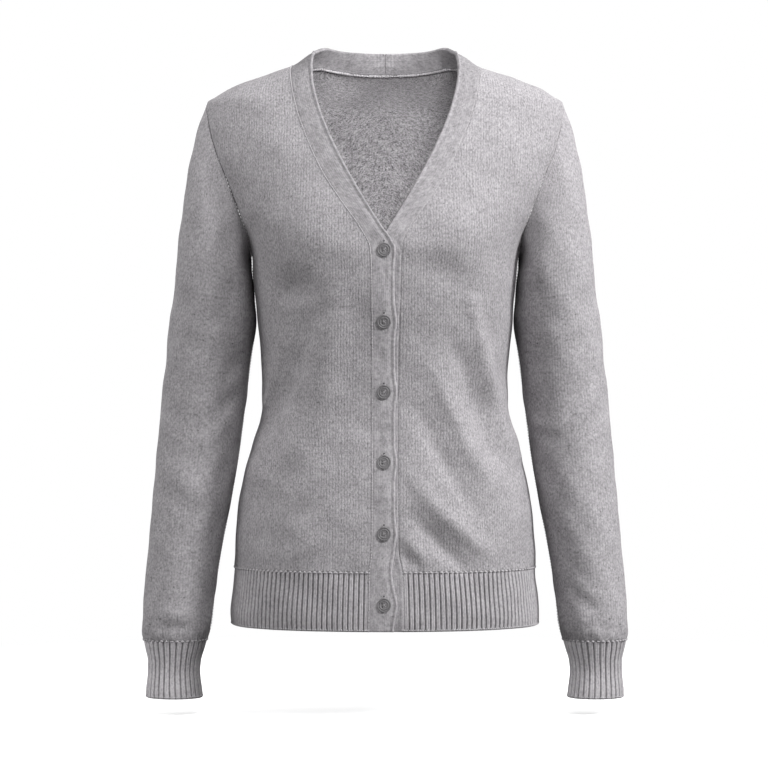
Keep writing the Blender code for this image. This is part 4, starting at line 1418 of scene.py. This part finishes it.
def makeSideSeams(side):
    # up the side, along the shoulder, and down the sleeve from the armpit
    stitch = dict(seams["sideStitch"], spacing=seams["stitchSpacing"], seed=31 + side)
    runs = ((heights["hem"] + 1, heights["armpit"] - 1, seams["points"]["side"]),
            (heights["shoulderTip"] + 0.5, -0.5, seams["points"]["shoulder"]))
    rows = []
    for start, end, count in runs:
        levels = np.linspace(start, end, count)
        points, normals = torsoLine(np.full(len(levels), side * pi / 2), levels)
        rows.append((points, normals, seams["cordDepth"][leftSide], [stitch]))
    underarm = sleeveGrid(np.linspace(pi - 0.06, pi + 0.06, 9))[2:-1, 4]
    facing = np.tile([-1.0, 0.0, 0.0], (len(underarm), 1))
    stitch = dict(stitch, lift=seams["underarmLift"])
    rows.append((mirrored(underarm, side), mirrored(facing, side), None, [stitch]))
    seamPiece("sideSeam" + sideWords[side], rows)


def makeNeckSeams():
    # the join of the two bands at the centre back, and the linking row inside the back neck
    count, overrun = seams["points"], seams["neckOverrun"]
    low, high = (backNeckLine[which]["middle"] for which in ("seam", "edge"))
    levels = np.linspace(low + 0.4, high - 1.2, count["middle"])
    points, normals = torsoLine(np.full(len(levels), pi), levels)
    rows = [(points, normals, seams["middleDepth"], [seams["middleStitch"]])]
    turns = np.linspace(pi / 2 - overrun, 3 * pi / 2 + overrun, count["neck"])
    _, height = backNeck(np.minimum(np.abs(turns), 2 * pi - np.abs(turns)), 0)
    points, normals = torsoLine(turns, height, -cloth["bandThick"])
    rows.append((points, -normals, None, [seams["neckStitch"]]))
    seamPiece("backNeckSeam", rows)


for side in bothSides:
    makeBandSeam(side)
    makeArmholeSeam(side)
    makeSideSeams(side)
makeNeckSeams()
print("seams done")


# ---- linked tops of the ribs ----

# Stitches are given as half length, half width and half height. Depths are below the cloth's face.
knots = {
    "size": (1.75, 1.2, 1.0),
    "lift": 0.15,
    "fromTop": -0.3,        # from the top of the rib
    "cordDepth": 1.2,
    "cordRadius": 0.9,
    "castOff": {"size": (1.2, 0.7, 0.6), "lean": 20, "lift": -0.3, "uneven": 0.3, "seed": 7},
    "castOffRise": 1.5,     # above the rib's free edge
}


def knotRow(name, points, normals, edge):
    # one stitch to each rib, lying across it, and the cast-off stitches along the rib's other edge
    stitches = stitchRow(points, normals, rib["pitch"], knots["size"], lift=knots["lift"], seed=len(name))
    cord = cordAlong(points - normals * knots["cordDepth"], normals, knots["cordRadius"])
    castOff = stitchRow(*edge, rib["pitch"] / 2, **knots["castOff"])
    finishPiece(meshPiece(name, [stitches, *cord, castOff], litSeamYarn), [])


def makeHemKnots():
    level = heights["hemRibTop"] + knots["fromTop"]
    openings = [float(placketAngle(side)(np.array([level]))[0]) for side in bothSides]
    ends = {"Right": (-pi / 2, openings[0]), "Left": (openings[1], pi / 2), "Back": (pi / 2, 3 * pi / 2)}
    for word, (first, last) in ends.items():
        turns = np.linspace(first, last, 500)
        points, normals = torsoLine(turns, np.full(500, level))
        edge = torsoLine(turns, np.full(500, heights["hem"] + knots["castOffRise"]))
        knotRow("hemKnots" + word, points, normals, edge)


def makeCuffKnots(side):
    turns = np.linspace(0, 2 * pi, 361)
    levels = heights["cuffTop"] + np.array([[2.0], [0.0], [-2.0]])
    grid = sleeveRing(turns, levels)
    normals = unit(np.cross(np.gradient(grid, axis=1), np.gradient(grid, axis=0)))
    ends = sleeveRing(turns, heights["cuffBottom"] + knots["castOffRise"])
    points, facing, ends = (mirrored(line, side) for line in (grid[1], normals[1], ends))
    knotRow("cuffKnots" + sideWords[side], points, facing, (ends, facing))


makeHemKnots()
for side in bothSides:
    makeCuffKnots(side)
print("rib knots done")


# ---- buttons ----

button = {
    "sides": 48,
    # steps inwards from the edge, as width and rise: rim, groove, raised ring and dished middle
    "profile": ((0.35, 0.15), (0.75, 0.05), (0.35, -0.85), (0.35, -0.1), (0.4, 0.4), (0.7, 0.1),
                (0.45, -0.4), (0.8, -0.05)),
    "footInset": 0.7,      # of the smaller foot, and how far it stands down
    "footDrop": 0.25,
    "bevel": 0.12,
    "bevelFrom": 25,       # degrees between faces
    "smoothTo": 35,
    "holeRadius": 1.0,
    "holeSides": 20,
    "holeOffset": 1.5,
    "turns": (7, -4, 12, 0, -9, 5),    # degrees that each button is turned on its band
}

thread = {
    "radius": 0.22,
    "sides": 10,
    "points": 17,
    "lifts": (0.0, 0.28),    # the second bar lies on the first
    "height": 0.45,          # above the dished middle
    "dish": 0.85,            # depth of the dished middle below the disc's top
    "dive": 1.9,             # how far the ends run down into the holes
}

plastic = {
    "dark": (0.118, 0.114, 0.118),
    "light": (0.165, 0.159, 0.165),
    "from": 0.3,
    "to": 0.7,
    "cloud": 3.0,
    "grain": 0.35,
    "grainBump": 0.4,
    "grainDepth": 0.03,
    "roughness": (0.42, 0.18),    # at its least, and what the grain adds
    "specular": 0.35,
}


def selectFaces(mesh, up):
    # only the disc's top (1) or its underside (-1) is left selected
    bpy.ops.object.mode_set(mode="OBJECT")
    for part in (mesh.vertices, mesh.edges, mesh.polygons):
        part.foreach_set("select", np.zeros(len(part), bool))
    for face in mesh.polygons:
        face.select = face.normal.z * up > 0.9
    bpy.ops.object.mode_set(mode="EDIT")
    bpy.ops.mesh.select_mode(type="FACE")


def modelButton():
    # a turned disc with a raised rim, a dished middle and four thread holes
    bpy.ops.object.select_all(action="DESELECT")
    thick = buttons["thick"] * mm
    bpy.ops.mesh.primitive_cylinder_add(
        vertices=button["sides"], radius=buttons["radius"] * mm, depth=thick, location=(0, 0, 0))
    disc = bpy.context.object
    disc.data.transform(Matrix.Translation((0, 0, thick / 2)))
    bpy.ops.object.mode_set(mode="EDIT")
    selectFaces(disc.data, 1)
    for width, rise in button["profile"]:
        bpy.ops.mesh.inset(thickness=width * mm, depth=rise * mm)
    selectFaces(disc.data, -1)
    bpy.ops.mesh.inset(thickness=button["footInset"] * mm, depth=0)
    bpy.ops.transform.translate(value=(0, 0, -button["footDrop"] * mm))
    bpy.ops.object.mode_set(mode="OBJECT")
    soften = disc.modifiers.new("soften", "BEVEL")
    soften.width = button["bevel"] * mm
    soften.segments = 2
    soften.limit_method = "ANGLE"
    soften.angle_limit = radians(button["bevelFrom"])
    bpy.ops.object.modifier_apply(modifier="soften")
    for x, y in ((1, 1), (-1, 1), (-1, -1), (1, -1)):
        bpy.ops.mesh.primitive_cylinder_add(
            vertices=button["holeSides"], radius=button["holeRadius"] * mm, depth=4 * thick,
            location=(x * button["holeOffset"] * mm, y * button["holeOffset"] * mm, 0))
        drill = bpy.context.object
        bpy.context.view_layer.objects.active = disc
        cut = disc.modifiers.new("hole", "BOOLEAN")
        cut.operation = "DIFFERENCE"
        cut.object = drill
        bpy.ops.object.modifier_apply(modifier="hole")
        bpy.data.objects.remove(drill)
    bpy.ops.object.select_all(action="DESELECT")
    disc.select_set(True)
    bpy.ops.object.shade_smooth_by_angle(angle=radians(button["smoothTo"]))
    return disc


def modelThread():
    # two bars of thread that cross between the four holes
    share = np.linspace(-1, 1, thread["points"])
    parts = []
    for turn, lift in zip((pi / 4, 3 * pi / 4), thread["lifts"]):
        way = np.array([np.cos(turn), np.sin(turn), 0])
        height = buttons["thick"] - thread["dish"] + thread["height"] + lift
        height = height - np.abs(share) ** 5 * (thread["dive"] + lift)
        points = way * (share * button["holeOffset"] * 1.414)[:, None]
        points[:, 2] = height
        across = np.tile([-way[1], way[0], 0], (len(share), 1))
        parts += cordAlong(points, across, thread["radius"], sides=thread["sides"])
    return meshPiece("threadShape", parts, buttonYarn)


def makePlastic():
    material, shader, tools = startMaterial("greyButton")
    node, join, sums = tools
    place = node("ShaderNodeTexCoord").outputs["Object"]
    cloud = noiseOf(tools, place, plastic["cloud"], detail=3.0)
    grain = noiseOf(tools, place, plastic["grain"])
    rampOf(tools, cloud, shader, plastic["dark"], plastic["light"], plastic["from"], plastic["to"])
    least, more = plastic["roughness"]
    join(sums("MULTIPLY_ADD", grain, more, least), shader.inputs["Roughness"])
    bumpOf(tools, grain, shader, plastic["grainBump"], plastic["grainDepth"])
    shader.inputs["Specular IOR Level"].default_value = plastic["specular"]
    return material


def bakePlace(shape, name, matrix):
    data = shape.data.copy()
    data.transform(matrix)
    return addObject(name, data)


def makeButtons():
    disc, bars = modelButton(), modelThread()
    disc.data.materials.clear()
    disc.data.materials.append(makePlastic())
    for k, height in enumerate(buttonHeights):
        angle = angleAt(buttons["offset"], height)
        foot = torsoPoints(angle, height, bands["layer"][rightSide] + buttons["seatGap"])
        facing = Vector(torsoNormal(angle, height)).to_track_quat("Z", "X")
        turn = Matrix.Rotation(radians(button["turns"][k]), 4, "Z")
        place = Matrix.LocRotScale(Vector(foot) * mm, facing, None) @ turn
        finishPiece(bakePlace(disc, f"sewnButton{k + 1}", place), [f"button_{k + 1}"])
        finishPiece(bakePlace(bars, f"buttonThread{k + 1}", place), [])
    bpy.data.objects.remove(disc)
    bpy.data.objects.remove(bars)


buttonholes = {
    "top": 8.9,             # above the button's middle, and the bottom below it
    "bottom": -7.0,
    "halfWidth": 0.9,
    "squareness": 0.6,
    "stitch": {"spacing": 0.95, "size": (1.0, 0.42, 0.4), "lean": 90, "lift": 0.02},
    "slitDepth": 0.35,
    "slitRadius": 0.5,
    "slitShort": 0.3,
    "slitEnd": (0.95, 0.6, 1.15),    # half sizes of the tack at its upper end
    # the slit's painted shade runs between these two greys
    "dark": 0.03,
    "light": 0.07,
    "grain": 0.8,
    "roughness": 0.95,
}


def makeButtonhole(k, height):
    # a slit with a worked edge, under each button and a little above it
    turns = np.linspace(0, 2 * pi, 200, endpoint=False)
    top, bottom = buttonholes["top"], buttonholes["bottom"]
    middle, half = (top + bottom) / 2, (top - bottom) / 2
    rise = np.sign(np.cos(turns)) * np.abs(np.cos(turns)) ** buttonholes["squareness"]
    edgeHeight = height + middle + half * rise
    edgeAngle = angleAt(buttons["offset"] + buttonholes["halfWidth"] * np.sin(turns), edgeHeight)
    layer = bands["layer"][rightSide]
    points, normals = torsoLine(edgeAngle, edgeHeight, layer)
    edge = stitchRow(closeLine(points), closeLine(normals), seed=60 + k, **buttonholes["stitch"])
    finishPiece(meshPiece(f"buttonhole{k + 1}", [edge], litSeamYarn), [])
    slitHeight = height + middle + (half - buttonholes["slitShort"]) * np.linspace(-1, 1, 30)
    slitAngle = angleAt(np.full(30, buttons["offset"]), slitHeight)
    depth = buttonholes["slitDepth"]
    points, normals = torsoLine(slitAngle, slitHeight, layer - depth)
    tack = bead[0] * np.array(buttonholes["slitEnd"]) + points[-1] + normals[-1] * depth
    parts = cordAlong(points, normals, buttonholes["slitRadius"]) + [(tack, bead[1])]
    finishPiece(meshPiece(f"buttonholeSlit{k + 1}", parts, slitShade), [])


# painted shade: the near-black colour of the cord down the open slit and of the tack at its upper end
def makeSlitShade():
    material, shader, tools = startMaterial("slitShade")
    place = tools[0]("ShaderNodeTexCoord").outputs["Object"]
    grain = noiseOf(tools, place, buttonholes["grain"])
    rampOf(tools, grain, shader, [buttonholes["dark"]] * 3, [buttonholes["light"]] * 3)
    shader.inputs["Roughness"].default_value = buttonholes["roughness"]
    return material


slitShade = makeSlitShade()
makeButtons()
for k, height in enumerate(buttonHeights):
    makeButtonhole(k, height)
print("buttons done")


# ---- floor, light and camera ----

# lengths here are in metres
studio = {
    "floorHeight": -0.668,
    "floorSize": 60.0,
    "floorFadeFrom": 0.30,
    "floorFadeTo": 0.9,
    "floorColour": (0.92, 0.92, 0.92, 1),
    "floorGlow": 0.55,
    "floorBounce": 0.12,     # how much light the floor throws back up
    "sky": 0.34,             # how strongly the white surroundings light the knit
    "target": (0.0, 0.0, -0.24),
    # name, degrees to the right of the front, degrees up, distance, size, power
    "lights": (
        ("keyLight", 64, 24, 2.5, 0.6, 67),
        ("secondKey", 22, 58, 2.2, 0.8, 31),
        ("highFill", -52, 48, 2.5, 1.4, 6),
        ("leftLight", -75, 12, 3.0, 1.4, 27),
        ("lowFill", -30, 15, 2.5, 1.4, 6),
        ("backLightRight", 150, 28, 3.0, 1.6, 34),
        ("backLightLeft", -142, 24, 3.0, 1.6, 27),
    ),
    # lamps for a few pieces only
    "placketKey": (64, 24, 2.5, 0.6, 65),
    "buttonLight": (18, 21, 2.0, 0.10, 21),
    "cuffLight": (-35, 4, 2.6, 1.2, 22),
    # place, target, power, size
    "neckLight": ((0.25, -2.4, 0.35), (0.0, 0.06, -0.08), 38.0, 0.7),
    "collarLight": ((-0.045, -0.05, 0.075), (0.03, 0.06, 0.005), 0.011, 0.05),
    "collarSpread": 50,
    "lens": 135.9,
    "cameraPlace": (-0.001, -3.0, -0.33),
}


def aimLight(name, place, target, power, size):
    data = bpy.data.lights.new(name, "AREA")
    data.energy = power
    data.shape = "DISK"
    data.size = size
    lamp = addObject(name, data)
    lamp.location = place
    lamp.rotation_euler = (Vector(target) - Vector(place)).to_track_quat("-Z", "Y").to_euler()
    lamp.visible_camera = False
    return lamp


def lightFrom(name, around, up, distance, size, power):
    # a lamp aimed at the cardigan from degrees to the right of the front and degrees up
    turn, rise = radians(around), radians(up)
    way = Vector((np.sin(turn) * np.cos(rise), -np.cos(turn) * np.cos(rise), np.sin(rise)))
    target = Vector(studio["target"])
    return aimLight(name, target + way * distance, target, power, size)


def makeFloor():
    # pale paint that takes the shadow near the cardigan and runs out into plain white
    bpy.ops.object.select_all(action="DESELECT")
    bpy.ops.mesh.primitive_plane_add(size=studio["floorSize"], location=(0, 0, studio["floorHeight"]))
    floor = bpy.context.object
    floor.name = "paleFloor"
    material, shader, (node, join, sums) = startMaterial("paleFloorPaint")
    shader.inputs["Base Color"].default_value = studio["floorColour"]
    shader.inputs["Roughness"].default_value = 0.9
    shader.inputs["Specular IOR Level"].default_value = 0.1
    far = node("ShaderNodeVectorMath", operation="LENGTH")
    join(node("ShaderNodeTexCoord").outputs["Object"], far.inputs[0])
    fade = node("ShaderNodeMapRange", interpolation_type="SMOOTHSTEP")
    join(far.outputs["Value"], fade.inputs["Value"])
    fade.inputs["From Min"].default_value = studio["floorFadeFrom"]
    fade.inputs["From Max"].default_value = studio["floorFadeTo"]
    toCamera = node("ShaderNodeLightPath").outputs["Is Camera Ray"]
    white = node("ShaderNodeEmission")
    glow = node("ShaderNodeEmission")
    join(sums("MULTIPLY", toCamera, studio["floorGlow"]), glow.inputs["Strength"])
    lit = node("ShaderNodeAddShader")
    join(shader.outputs[0], lit.inputs[0])
    join(glow.outputs[0], lit.inputs[1])
    # it throws hardly any light back up, so the folds keep their shadows
    dim = node("ShaderNodeBsdfDiffuse")
    dim.inputs["Color"].default_value = (*(studio["floorBounce"],) * 3, 1)

    def blend(share, first, second):
        made = node("ShaderNodeMixShader")
        for source, socket in zip((share, first.outputs[0], second.outputs[0]), made.inputs):
            join(source, socket)
        return made

    seen = blend(sums("MULTIPLY", fade.outputs["Result"], toCamera), lit, white)
    both = blend(toCamera, dim, seen)
    join(both.outputs[0], material.node_tree.nodes["Material Output"].inputs["Surface"])
    floor.data.materials.append(material)


def makeWorld():
    # white behind the cardigan, and a dimmer light on it
    world = bpy.data.worlds.new("studio")
    bpy.context.scene.world = world
    world.use_nodes = True
    nodes, links = world.node_tree.nodes, world.node_tree.links
    dim = nodes["Background"]
    dim.inputs["Color"].default_value = (1, 1, 1, 1)
    dim.inputs["Strength"].default_value = studio["sky"]
    white = nodes.new("ShaderNodeBackground")
    white.inputs["Color"].default_value = (1, 1, 1, 1)
    path = nodes.new("ShaderNodeLightPath")
    mix = nodes.new("ShaderNodeMixShader")
    links.new(path.outputs["Is Camera Ray"], mix.inputs["Fac"])
    links.new(dim.outputs[0], mix.inputs[1])
    links.new(white.outputs[0], mix.inputs[2])
    links.new(mix.outputs[0], nodes["World Output"].inputs["Surface"])


def linkGroup(name, names, state):
    group = bpy.data.collections.new(name)
    for piece in names:
        group.objects.link(bpy.data.objects[piece])
    for entry in group.collection_objects:
        entry.light_linking.link_state = state
    return group


def lightOnly(lamp, names, state="INCLUDE"):
    lamp.light_linking.receiver_collection = linkGroup(lamp.name + "Lit", names, state)


def makeLights():
    for settings in studio["lights"]:
        lightFrom(*settings)
    # the front bands and the buttons have their own lamps, so each button's shadow stays small
    sewn = [word + str(k + 1) for k in range(buttons["count"]) for word in ("sewnButton", "buttonThread")]
    placket = ["bandRight", "bandLeft"] + sewn
    for name in ("keyLight", "secondKey", "highFill", "lowFill"):
        lightOnly(bpy.data.objects[name], placket, "EXCLUDE")
    cuffPieces = ("cuffRight", "cuffLeft")
    for name, lit in (("placketKey", placket), ("buttonLight", placket), ("cuffLight", cuffPieces)):
        lightOnly(lightFrom(name, *studio[name]), lit)
    shades = linkGroup("placketKeyShades", sewn, "EXCLUDE")
    for name in ("placketKey", "keyLight"):
        bpy.data.objects[name].light_linking.blocker_collection = shades
    lightOnly(aimLight("neckLight", *studio["neckLight"]), ("backPanel", "backNeckSeam"))
    lamp = aimLight("collarLight", *studio["collarLight"])
    lamp.data.spread = radians(studio["collarSpread"])
    lightOnly(lamp, ("bandRight", "bandLeft"))
    bpy.context.scene.view_settings.view_transform = "Standard"


def makeCamera():
    data = bpy.data.cameras.new("camera")
    data.lens = studio["lens"]
    data.sensor_width = 36.0
    camera = addObject("camera", data)
    camera.location = studio["cameraPlace"]
    camera.rotation_euler = (pi / 2, 0, 0)
    bpy.context.scene.camera = camera


makeFloor()
makeWorld()
makeLights()
makeCamera()
print("studio done")
